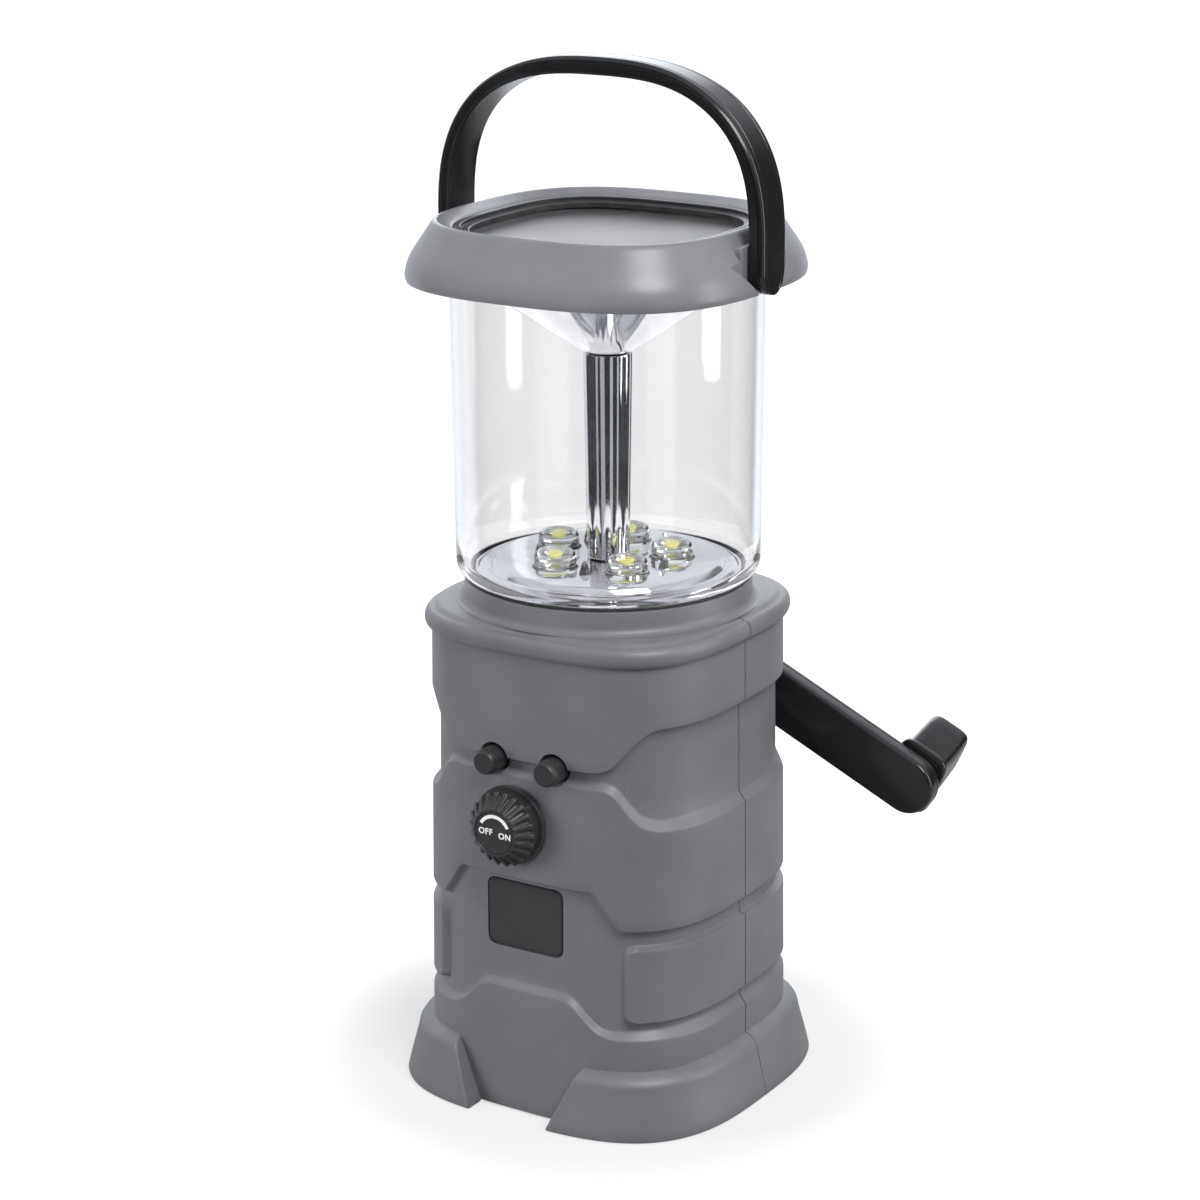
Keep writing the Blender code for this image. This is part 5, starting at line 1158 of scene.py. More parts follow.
        for height, half in self.outside(square):
            ring(height, half)
        bead_half = self.foot_half - self.taper
        for degrees in range(-72, 91, 12):
            turn = math.radians(degrees)
            ring(self.top + self.bead_lift + self.bead_rise * math.sin(turn),
                 bead_half + self.bead_reach * math.cos(turn))
        for half, height in self.deck_edge:
            ring(height, half)
        under = self.deck_top - self.deck_thickness
        hole, deck = self.wire_hole, self.deck_top
        for half, height in ((20.0, deck), (hole + 0.4, deck), (hole + 0.1, deck - 0.1),
                             (hole, deck - 0.4), (hole, under + 0.3), (hole + 0.3, under),
                             (20.0, under)):
            ring(height, half, 1.0 if half < 15.0 else 0.6)
        inner = self.half(under) - self.wall
        for half, height in ((inner - 1.5, under), (inner - 0.5, under - 0.3), (inner, under - 1.2)):
            ring(height, half)
        for height in (95.0, 80.0, 65.0, 50.0, 35.0, 20.0, 8.0, self.bottom + 0.3):
            ring(height, self.half(height) - self.wall)
        ring(self.bottom, self.foot_half - self.wall + 0.3)
        return np.array(made)

    def foot(self, side: int) -> bpy.types.Object:
        """One flared foot, from its slanted front end round the side to the back.

        Args:
            side: +1 for the right foot, -1 for the left.

        Returns:
            The closed foot.
        """
        dense = np.linspace(-math.pi / 2.0, math.pi / 2.0, 2001)
        slope = (self.foot_gap_top_half - self.foot_gap_half) / self.foot_height
        rings = []
        spread = np.linspace(0.0, 1.0, self.foot_columns)
        for reach, height in self.foot_profile:
            half = float(self.half(height)) + reach
            unit = squared_unit(dense, self.power) * half
            gap = self.foot_gap_half + slope * height
            limit = self.foot_gap_centre * side + gap
            walked = np.concatenate([[0.0], np.cumsum(np.linalg.norm(np.diff(unit, axis=0), axis=1))])
            forward = unit[:, 1] < 0
            start = np.interp(limit, unit[forward, 0], walked[forward])
            back = unit[:, 1] >= 0
            end = np.interp(-limit, -unit[back, 0], walked[back])
            at = start + (end - start) * spread
            x = np.interp(at, walked, unit[:, 0]) * side
            y = np.interp(at, walked, unit[:, 1])
            rings.append(np.column_stack([x, y, np.full(self.foot_columns, height)]))
        foot = loft(f"foot_{side}", np.array(rings).transpose(1, 0, 2))
        caps = {key for face in foot.data.polygons if len(face.vertices) > 4 for key in face.edge_keys}
        bevel_edges(foot, caps, self.foot_edge, 3)
        return foot

    def front_cutters(self) -> list[bpy.types.Object]:
        """Tools for the spindle's hole, the two button notches and the port recess."""
        dial = middle("control_dial")
        tools = [bore("spindle_hole", self.spindle_hole, self.inside, FAR, TO_FRONT, (dial.x, 0, dial.z))]
        for name in ("left_button", "right_button"):
            centre = middle(name)
            face = float(self.half(centre.z))
            notch = [(0.0, self.inside), (3.2, self.inside), (3.2, face - 1.75), (3.4, face - 1.6),
                     (3.6, face - 0.35), (3.8, face + 0.05), (3.8, face + 6.0), (0.0, face + 6.0)]
            tool = turned("button_notch", notch, SMALL_STEPS)
            tools.append(put(tool, TO_FRONT, (centre.x, 0, centre.z)))
        low, high = corners("port_cover")
        gap = self.port_gap
        recess = rounded_box(low.x - gap, low.z - gap, high.x + gap, high.z + gap, self.port_corner)
        tools.append(put(prism("port_recess", recess, -high.y + gap, FAR), TO_FRONT, HERE))
        return tools

    def socket_cutters(self) -> list[bpy.types.Object]:
        """Tools for the windows in the port recess's floor."""
        usb, jack = middle("usb_socket"), middle("charge_socket")
        window = rounded_box(usb.x - 3.8, usb.z - 2.1, usb.x + 3.8, usb.z + 2.1, 0.4)
        return [put(prism("usb_window", window, self.inside, self.socket_floor), TO_FRONT, HERE),
                bore("jack_hole", 2.4, self.inside, self.socket_floor, TO_FRONT, (jack.x, 0, usb.z))]

    def rear_cutters(self) -> list[bpy.types.Object]:
        """Tools for the crank's bore and the case screws' counterbores."""
        centre = middle("crank_bush")
        tools = [bore("crank_bore", self.boss_bore, self.inside, FAR, TO_BACK, (centre.x, 0, centre.z))]
        for index in range(1, 5):
            screw = f"case_screw_{index}"
            centre, seat = middle(screw), corners(screw)[1].y - self.screw_sunk
            hole = [(0.0, seat), (self.screw_head, seat), (self.screw_head, FAR), (0.0, FAR)]
            tools.append(put(turned("screw_bore", hole, SMALL_STEPS), TO_BACK, (centre.x, 0, centre.z)))
        return tools

    def build(self) -> None:
        """Models the whole body, cuts its openings and parts it at the seam."""
        whole = loft("whole_body", self.rings(), joined=True)
        combine(whole, [self.foot(1), self.foot(-1)], Cut.ADD)
        centre, face, back = middle("crank_bush"), self.boss_face, self.boss_back
        boss = [(0.0, back), (self.boss_radius, back), (self.boss_radius, face - 0.5),
                (self.boss_radius - 0.15, face - 0.15), (self.boss_radius - 0.5, face), (0.0, face)]
        combine(whole, [put(turned("boss", boss, 64), TO_BACK, (centre.x, 0, centre.z))], Cut.ADD)
        combine(whole, self.port_frame(), Cut.ADD)
        combine(whole, self.front_cutters() + self.rear_cutters(), Cut.TAKE)
        combine(whole, self.socket_cutters(), Cut.TAKE)
        halves = [(half_of(whole, f"{side}_body", side == "front", self.seam), f"{side}_shell")
                  for side in ("front", "rear")]
        bpy.data.objects.remove(whole)
        for half, node in halves:
            settle(half, self.finishes.body, "housing", (node,), RELIEF_ANGLE)

    def port_frame(self) -> list[bpy.types.Object]:
        """The thicker wall behind the port recess."""
        outline = rounded_box(-12.9, 35.8, 11.5, 56.4, 2.5)
        return [put(prism("port_wall", outline, 30.57, 33.2), TO_FRONT, HERE)]


# The lamp house

@dataclass
class LampHouse:
    """Collar, clear globe, chromed tray with five lamps, column and cone."""

    finishes: Finishes
    lamp_ring: float = 14.0
    cone_ring: float = 15.2
    first_lamp: float = math.radians(30.4)
    lamps: int = 5
    lamp_hole: float = 5.1
    flutes: int = 12
    steps_per_flute: int = 12
    flute_depth: float = 0.16

    def collar(self) -> None:
        """Grey ring that the globe stands in."""
        low, high = corners("lamp_collar")
        side, foot = high.x, low.z - 0.27
        profile = [(28.2, foot), (side + 1.9, foot), (side + 1.9, foot + 0.03), (side + 1.35, foot + 0.1),
                   (side + 0.85, foot + 0.3), (side + 0.42, foot + 0.65), (side + 0.14, foot + 1.15),
                   (side, foot + 1.8), (side, high.z - 0.1), (side - 0.1, high.z + 0.16),
                   (side - 0.35, high.z + 0.25), (28.2, high.z + 0.25)]
        settle(turned("lamp_ring", profile, FINE_STEPS), self.finishes.body, "housing",
               ("lamp_collar",))

    def globe(self) -> None:
        """Clear globe with a rounded heel and a thin wall."""
        outer = [(31.3, 117.5), (31.8, 117.6), (32.4, 117.95), (32.95, 118.6), (33.3, 119.4),
                 (33.5, 120.3), (33.6, 121.5), (33.65, 126.0), (33.75, 140.0), (33.9, 160.0),
                 (34.08, 183.0), (34.1, 185.6), (34.0, 185.8)]
        inner = [(32.8, 185.8), (32.7, 185.6), (32.65, 183.0), (32.45, 160.0), (32.3, 140.0),
                 (32.2, 126.0), (32.1, 121.6), (31.85, 120.4), (31.3, 119.3), (30.7, 118.6),
                 (30.4, 118.1), (30.5, 117.6), (30.8, 117.5)]
        globe = turned("clear_globe", outer + inner, FINE_STEPS)
        settle(globe, self.finishes.clear, "housing", ("globe",))

    def spot(self, radius: float, index: float) -> tuple[float, float, float]:
        """Place on a ring round the column, counted in lamps from the first one."""
        angle = self.first_lamp + FULL_TURN * index / self.lamps
        return radius * math.cos(angle), radius * math.sin(angle), 0.0

    def tray(self) -> None:
        """Chromed tray with ridges round it, holes for the lamps and small cones between them."""
        profile = [(0.0, 118.9), (23.4, 118.9), (24.2, 118.4), (24.8, 117.7), (25.1, 117.5),
                    (29.7, 117.5), (30.0, 117.6), (30.0, 117.95), (29.8, 118.15), (29.2, 118.1),
                    (28.9, 118.25), (28.4, 118.75), (27.9, 119.0), (27.4, 119.0), (27.0, 118.8),
                    (26.6, 118.55), (26.1, 118.6), (25.8, 119.0), (25.4, 119.6), (25.0, 119.95),
                    (24.5, 120.1), (0.0, 120.1)]
        tray = turned("chrome_tray", profile, FINE_STEPS)
        holes = [bore("lamp_hole", self.lamp_hole, 110.0, 125.0, STILL, self.spot(self.lamp_ring, index))
                 for index in range(self.lamps)]
        combine(tray, holes, Cut.TAKE)
        cone = [(0.0, 119.8), (1.3, 119.8), (1.28, 120.2), (0.75, 122.1), (0.3, 123.1), (0.0, 123.3)]
        cones = [put(turned("small_cone", cone, 8), STILL, self.spot(self.cone_ring, index + 0.5))
                 for index in range(self.lamps)]
        combine(tray, cones, Cut.ADD)
        settle(tray, self.finishes.chrome, "housing", ("reflector_tray",), CRISP_ANGLE)

    def lamp(self, index: int) -> None:
        """One lamp: a thick clear lens with its yellow chip and the base under it.

        Args:
            index: Number of the lamp, from 0.
        """
        spot = self.spot(self.lamp_ring, index)
        lens = [(0.0, 119.3), (2.2, 119.3), (2.3, 118.9), (4.7, 118.9), (4.8, 119.0), (4.8, 119.8),
                 (4.65, 119.95), (4.6, 121.3), (4.55, 122.7), (4.35, 123.3), (3.8, 123.8),
                 (3.0, 124.05), (2.2, 124.1), (1.9, 123.95), (1.6, 123.9), (0.0, 123.9)]
        body = put(turned(f"lamp_lens_{index + 1}", lens, SMALL_STEPS), STILL, spot)
        settle(body, self.finishes.lens, "housing", (f"lamp_{index + 1}",))
        chip = [(0.0, 122.15), (1.45, 122.15), (1.6, 122.25), (1.65, 122.4), (1.55, 122.52), (0.0, 122.6)]
        piece = put(turned(f"lamp_chip_{index + 1}", chip, SMALL_STEPS), STILL, spot)
        settle(piece, self.finishes.chip, "housing")

    def fluted(self, name: str, shape: tuple[tuple[float, float, float], ...], node: str) -> None:
        """Models a round chromed piece with flutes down its side.

        Args:
            name: Name of the piece.
            shape: Radius, height and share of the flutes' depth, ring by ring.
            node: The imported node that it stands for.
        """
        angles = np.linspace(0.0, FULL_TURN, self.flutes * self.steps_per_flute, endpoint=False)
        wave = 0.5 - 0.5 * np.cos(angles * self.flutes)
        rings = [round_ring(radius - self.flute_depth * depth * wave ** 1.6, angles, height)
                 for radius, height, depth in shape]
        piece = loft(name, np.array(rings))
        settle(piece, self.finishes.chrome, "housing", (node,), FLUTE_ANGLE)

    def column(self) -> None:
        """Fluted chromed column, a little wider at its top."""
        self.fluted("chrome_column", (
            (4.5, 120.4, 0.2), (4.68, 120.55, 0.6), (4.7, 120.8, 1.0), (4.9, 135.0, 1.0),
            (5.15, 150.0, 1.0), (5.38, 165.8, 1.0), (5.35, 166.1, 0.6), (5.2, 166.2, 0.2)),
            "reflector_column")

    def cone(self) -> None:
        """Chromed cone under the cap; the column's flutes run out over it and fade."""
        self.fluted("chrome_cone", (
            (5.0, 166.5, 0.2), (5.3, 166.55, 0.6), (5.6, 166.75, 1.0), (9.0, 168.9, 1.2),
            (14.0, 172.2, 1.2), (20.0, 176.3, 1.0), (26.0, 180.3, 0.7), (30.6, 183.4, 0.3),
            (31.2, 183.9, 0.0), (31.4, 184.3, 0.0), (31.4, 185.5, 0.0), (31.2, 185.8, 0.0),
            (30.3, 185.8, 0.0), (30.1, 185.6, 0.0), (30.1, 184.6, 0.0), (17.0, 176.0, 0.0),
            (4.2, 168.0, 0.0)), "reflector_cone")

    def build(self) -> None:
        """Models everything between the deck and the cap."""
        self.collar()
        self.globe()
        self.tray()
        for index in range(self.lamps):
            self.lamp(index)
        self.column()
        self.cone()


# The cap

@dataclass
class Cap:
    """Flared cap with its handle pockets, the stepped bezel, solar cells and window."""

    finishes: Finishes
    power: float = 2.79
    top_power: float = 2.9
    solar_power: float = 3.2
    pad_face: float = 37.2
    pad_back: float = 34.9
    pad_half: float = 7.8
    pad_low: float = 184.5
    pad_high: float = 193.4
    pad_corner: float = 1.2
    pin_hole: float = 1.3
    swing: float = math.radians(50.0)
    swing_steps: int = 24
    leg_half: float = 6.0
    leg_length: float = 26.0
    beyond: float = 46.0
    pivot: float = 188.0
    outside: tuple[Point, ...] = (
        (39.3, 183.1), (39.5, 183.2), (39.62, 183.5), (39.72, 184.0), (39.75, 184.6), (39.66, 185.3),
        (39.5, 186.0), (39.25, 187.0), (38.88, 188.0), (38.35, 189.0), (37.75, 190.0), (37.1, 191.0),
        (36.42, 192.0), (35.78, 193.0), (35.15, 194.0), (34.65, 194.8), (34.32, 195.3), (34.0, 195.7),
        (33.62, 195.98), (33.15, 196.1), (32.7, 196.0), (32.2, 195.8), (31.0, 195.35), (30.0, 195.0),
        (29.6, 194.8), (29.38, 194.6), (29.3, 194.3))

    def swing_outline(self) -> list[Point]:
        """Outline in Y and Z of what a handle leg needs to swing."""
        points = []
        for index in range(self.swing_steps + 1):
            angle = -math.pi + self.swing + (math.pi - 2.0 * self.swing) * index / self.swing_steps
            points.append((self.leg_half * math.cos(angle), self.pivot + self.leg_half * math.sin(angle)))
        side, up = self.leg_length * math.sin(self.swing), self.leg_length * math.cos(self.swing)
        points.append((points[-1][0] + side, points[-1][1] + up))
        points.append((points[0][0] - side, points[0][1] + up))
        return points

    def shell(self) -> None:
        """The cap itself."""
        inside = [(29.3, 192.7), (29.1, 192.4), (28.0, 192.35), (24.9, 189.9), (24.5, 189.7),
                  (24.5, 188.1), (34.4, 188.1), (34.8, 187.7), (34.8, 183.5), (35.1, 183.1)]
        cap = turned("cap_shell", list(self.outside) + inside, CAP_STEPS)
        squared(cap, [(24.0, self.solar_power), (29.6, self.solar_power), (32.5, self.top_power),
                      (39.0, self.power)])
        half, low, high = self.pad_half, self.pad_low, self.pad_high
        pad = softened([(-half, low), (half, low), (half, high), (-half, high)], self.pad_corner)
        upright = Matrix(((0, 0, 1, 0), (1, 0, 0, 0), (0, 1, 0, 0), (0, 0, 0, 1)))
        for name, outline, start, end, how in (
                ("handle_pad", pad, self.pad_back, self.pad_face, Cut.ADD),
                ("handle_pocket", self.swing_outline(), self.pad_face, self.beyond, Cut.TAKE)):
            combine(cap, [put(prism(name, outline, start, end), side @ upright, HERE)
                          for side in (Matrix.Rotation(math.pi, 4, "Z"), STILL)], how)
        combine(cap, [bore("pin_hole", self.pin_hole, 32.0, self.beyond, turn, (0, 0, self.pivot), 20)
                      for turn in (TO_RIGHT, TO_LEFT)], Cut.TAKE)
        settle(cap, self.finishes.cap, "housing", ("top_cap",))

    def bezel(self) -> None:
        """Stepped black frame round the window."""
        profile = [(26.2, 192.6), (29.0, 192.6), (29.0, 194.5), (28.85, 194.7), (28.05, 194.7),
                    (27.85, 194.55), (27.8, 193.95), (27.65, 193.8), (26.45, 193.8), (26.2, 193.6)]
        bezel = squared(turned("black_bezel", profile, CAP_STEPS), [(FAR, self.solar_power)])
        settle(bezel, self.finishes.matt, "housing", ("solar_bezel",))

    def cells(self) -> None:
        """Solar cells and the clear window over them."""
        for name, node, corner, finish, slot in (
                ("solar_cells", "solar_panel", 0.15, self.finishes.solar, Slot.SOLAR),
                ("solar_cover", "solar_window", 0.2, self.finishes.window, Slot.CLEAR)):
            low, high = corners(node)
            outline = [(0.0, low.z), (high.x, low.z), (high.x, high.z), (0.0, high.z)]
            piece = turned(name, softened(outline, corner, 2), CAP_STEPS)
            squared(piece, [(FAR, self.solar_power)])
            settle(piece, finish, "housing", (node,))

    def build(self) -> None:
        """Models the cap and what is set into its top."""
        self.shell()
        self.bezel()
        self.cells()


# The handle

@dataclass
class Handle:
    """Arched carrying handle: a band, narrower at its crown, with round leg ends."""

    finishes: Finishes
    pivot: float = 188.0
    spring: float = 193.0
    outer: float = 41.1
    inner: float = 37.5
    top: float = 230.0
    crown: float = 3.9
    roundness: float = 2.5
    inner_roundness: float = 2.75
    half_width: float = 5.2
    crown_share: float = 0.79
    points: int = 48
    narrow_from: float = 12.0
    narrow_over: float = 20.0
    tip_degrees: tuple[int, ...] = (10, 20, 30, 40, 50, 60, 68, 75, 81, 86)
    bore_profile: tuple[Point, ...] = (
        (0.0, 30.0), (1.3, 30.0), (1.3, 39.6), (2.3, 39.6), (2.3, 40.85), (0.0, 40.85))
    pin_profile: tuple[Point, ...] = (
        (0.0, 35.0), (0.85, 35.0), (1.0, 35.15), (1.0, 39.75), (1.7, 39.75), (1.7, 40.55), (1.55, 40.7),
        (0.0, 40.7))
    half_section: tuple[Point, ...] = (
        (0.0, 0.0), (4.45, 0.0), (4.8, 0.06), (5.06, 0.24), (5.18, 0.5), (5.2, 0.85), (5.2, 2.3),
        (5.16, 2.38), (4.98, 2.44), (4.94, 2.52), (4.94, 2.62), (4.98, 2.7), (5.12, 2.76), (5.12, 2.84),
        (4.98, 3.06), (4.6, 3.42), (4.35, 3.56), (4.05, 3.6), (3.3, 3.6), (3.22, 3.52), (3.06, 3.5),
        (2.9, 3.52), (2.82, 3.6), (0.0, 3.6))

    def curve(self, half: float, top: float, roundness: float) -> np.ndarray:
        """Right half of an arch in X and Z, from its crown to its springing."""
        angle = np.radians(90.0) * (1.0 - np.linspace(0.0, 1.0, self.points + 1))
        x = half * np.maximum(np.cos(angle), 0.0) ** (2.0 / roundness)
        z = self.spring + (top - self.spring) * np.maximum(np.sin(angle), 0.0) ** (2.0 / roundness)
        return np.column_stack([x, z])

    def section(self) -> np.ndarray:
        """Cross-section: place across the width and share of the thickness."""
        right = np.array(self.half_section) / (1.0, self.outer - self.inner)
        left = (right * (-1.0, 1.0))[-2:0:-1]
        return np.concatenate([right, left])

    def ribs(self) -> list[tuple[np.ndarray, np.ndarray, float]]:
        """Outer point, inner point and share of the width, from the crown to the leg's tip."""
        outside = self.curve(self.outer, self.top, self.roundness)
        inside = self.curve(self.inner, self.top - self.crown, self.inner_roundness)
        ribs = []
        for out, into in zip(outside, inside):
            share = min(max((out[0] - self.narrow_from) / self.narrow_over, 0.0), 1.0)
            width = self.crown_share + (1.0 - self.crown_share) * share * share * (3.0 - 2.0 * share)
            ribs.append((out, into, width))
        for height in np.linspace(self.spring, self.pivot, 5)[1:]:
            ribs.append((np.array([self.outer, height]), np.array([self.inner, height]), 1.0))
        for degrees in self.tip_degrees:
            turn = math.radians(degrees)
            height = self.pivot - self.half_width * math.sin(turn)
            ribs.append((np.array([self.outer, height]), np.array([self.inner, height]), math.cos(turn)))
        return ribs

    def build(self) -> None:
        """Models the arch, its round leg ends and the blind bores for its pins."""
        section, ribs, rings = self.section(), self.ribs(), []
        for side in (-1, 1):
            for out, into, width in (ribs[:0:-1] if side < 0 else ribs):
                place = into + (out - into) * section[:, 1:2]
                rings.append(np.column_stack([place[:, 0] * side, section[:, 0] * width, place[:, 1]]))
        handle = loft("carry_arch", np.array(rings))
        centre = (0.0, 0.0, self.pivot)
        for turn in (TO_RIGHT, TO_LEFT):
            combine(handle, [put(turned("pin_bore", list(self.bore_profile), SMALL_STEPS), turn, centre)],
                    Cut.TAKE)
        settle(handle, self.finishes.gloss, "handle", ("carry_handle",), CRISP_ANGLE)
        for side, turn in (("right", TO_RIGHT), ("left", TO_LEFT)):
            pin = put(turned(f"{side}_pin", list(self.pin_profile), SMALL_STEPS), turn, centre)
            settle(pin, self.finishes.steel, "housing", (f"{side}_handle_pin",))


# The controls

@dataclass
class Controls:
    """Toothed dial with its printed scale, two push buttons and the port cover."""

    finishes: Finishes
    teeth: int = 22
    points_per_tooth: int = 14
    dial_x: float = -2.7
    dial_z: float = 68.0
    back: float = 35.52
    face: float = 42.52
    flange_half: float = 8.9
    flange_thickness: float = 1.2
    foot_drop: float = 3.05
    foot_radii: Point = (8.45, 7.3)
    head_radii: Point = (5.75, 5.45)
    face_shape: tuple[Point, ...] = (
        (0.0, 5.15), (0.0, 4.95), (0.18, 4.82), (0.18, 4.7), (0.06, 4.58), (0.06, 2.0))
    bore_radius: float = 3.3
    arc_radii: Point = (4.22, 3.45)
    arc_degrees: Point = (150.0, 26.0)
    arc_steps: int = 24
    letter_size: float = 1.95
    letter_boldness: float = 0.05
    print_sunk: float = 0.06
    words: tuple[tuple[str, float, float], ...] = (("OFF", -2.2, 0.1), ("ON", 2.7, -0.35))
    button_places: tuple[tuple[str, float], ...] = (("left", -7.7), ("right", 7.7))
    button_steps: int = 56

    def dial(self) -> None:
        """The dial: a flange, a cone with rounded ribs, and a flat face with a thin ring."""
        steps = self.teeth * self.points_per_tooth
        angles = np.linspace(0.0, FULL_TURN, steps, endpoint=False)
        wave = np.cos(angles * self.teeth)
        rib = np.clip(0.5 + 1.15 * wave, 0.0, 1.0)
        rib = rib * rib * (3.0 - 2.0 * rib)
        back, face, wide = self.back, self.face, self.flange_half
        flange, foot = back + self.flange_thickness, face - self.foot_drop
        shape = [(back, wide - 0.2, wide - 0.2), (back + 0.2, wide, wide), (flange - 0.3, wide, wide),
                 (flange - 0.08, 8.8, 8.8), (flange, 8.55, 8.55), (flange + 0.02, 8.05, 8.05),
                 (foot - 0.3, 8.0, 8.0), (foot - 0.2, 8.25, 7.55), (foot, *self.foot_radii)]
        for share in (0.15, 0.4, 0.65, 0.85, 1.0):
            tip, root = (start + (end - start) * share
                         for start, end in zip(self.foot_radii, self.head_radii))
            shape.append((foot + (face - 0.45 - foot) * share, tip, root))
        shape += [(face - 0.25, 5.6, 5.4), (face - 0.05, 5.38, 5.3)]
        shape += [(face - drop, radius, radius) for drop, radius in self.face_shape]
        rings = [round_ring(root + (tip - root) * rib, angles, height) for height, tip, root in shape]
        dial = loft("ribbed_dial", np.array(rings))
        combine(dial, [bore("dial_bore", self.bore_radius, back - 3.0, back + 4.5)], Cut.TAKE)
        put(dial, TO_FRONT, (self.dial_x, 0, self.dial_z))
        settle(dial, self.finishes.matt, "dial", ("control_dial",), DIAL_ANGLE)
        self.scale()

    def scale(self) -> None:
        """Printed scale: a short arc over the words OFF and ON."""
        level = self.face - self.print_sunk
        spot = (self.dial_x, 0.0, self.dial_z)
        turns = np.radians(np.linspace(*self.arc_degrees, self.arc_steps + 1))
        outer, inner = (round_ring(radius, turns, 0.0)[:, :2] for radius in self.arc_radii)
        outline = [tuple(point) for point in np.concatenate([outer, inner[::-1]])]
        mark = put(prism("dial_arc", outline, level - 0.02, level + 0.03), TO_FRONT, spot)
        settle(mark, self.finishes.print, "dial")
        for word, place, rise in self.words:
            clear_selection()
            bpy.ops.object.text_add(location=HERE)
            text = bpy.context.object
            text.data.body = word
            text.data.size, text.data.offset = self.letter_size * MM, self.letter_boldness * MM
            text.data.align_x = text.data.align_y = "CENTER"
            text.data.extrude = 0.025 * MM
            text.data.resolution_u = 3
            text.data.space_character = 1.08
            bpy.ops.object.convert(target="MESH")
            piece = bpy.context.object
            piece.name = f"dial_word_{word.lower()}"
            piece.data.name = piece.name
            close_skin(piece)
            piece.data.transform(Matrix.Translation((place * MM, rise * MM, level * MM)))
            put(piece, TO_FRONT, spot)
            settle(piece, self.finishes.print, "dial")

    def buttons(self) -> None:
        """Two round push buttons with eased edges and a slightly hollow face."""
        first = None
        for name, place in self.button_places:
            low, high = corners(f"{name}_button")
            back, face = -high.y, -low.y
            profile = [(0.0, back), (3.7, back), (3.8, back + 0.1), (3.8, back + 0.7), (3.7, back + 0.8),
                       (2.9, back + 0.8), (2.9, face - 1.6), (2.78, face - 0.9), (2.58, face - 0.35),
                       (2.4, face - 0.1), (2.15, face), (1.7, face - 0.05), (0.0, face - 0.1)]
            if first is None:
                first = turned("push_button", profile, self.button_steps)
            piece = twin(first, f"{name}_push_button")
            put(piece, TO_FRONT, (place, 0, (low.z + high.z) / 2.0))
            settle(piece, self.finishes.matt, f"{name}_button", (f"{name}_button",))
        bpy.data.objects.remove(first)

    def port_cover(self) -> None:
        """Rounded cover over the two sockets."""
        low, high = corners("port_cover")
        outline = rounded_box(low.x, low.z, high.x, high.z, 2.2)
        cover = prism("socket_cover", outline, -high.y, -low.y, edge=0.65, segments=4)
        put(cover, TO_FRONT, HERE)
        settle(cover, self.finishes.cover, "port_cover", ("port_cover",))

    def build(self) -> None:
        """Models all the controls on the front."""
        self.dial()
        self.buttons()
        self.port_cover()


# The crank

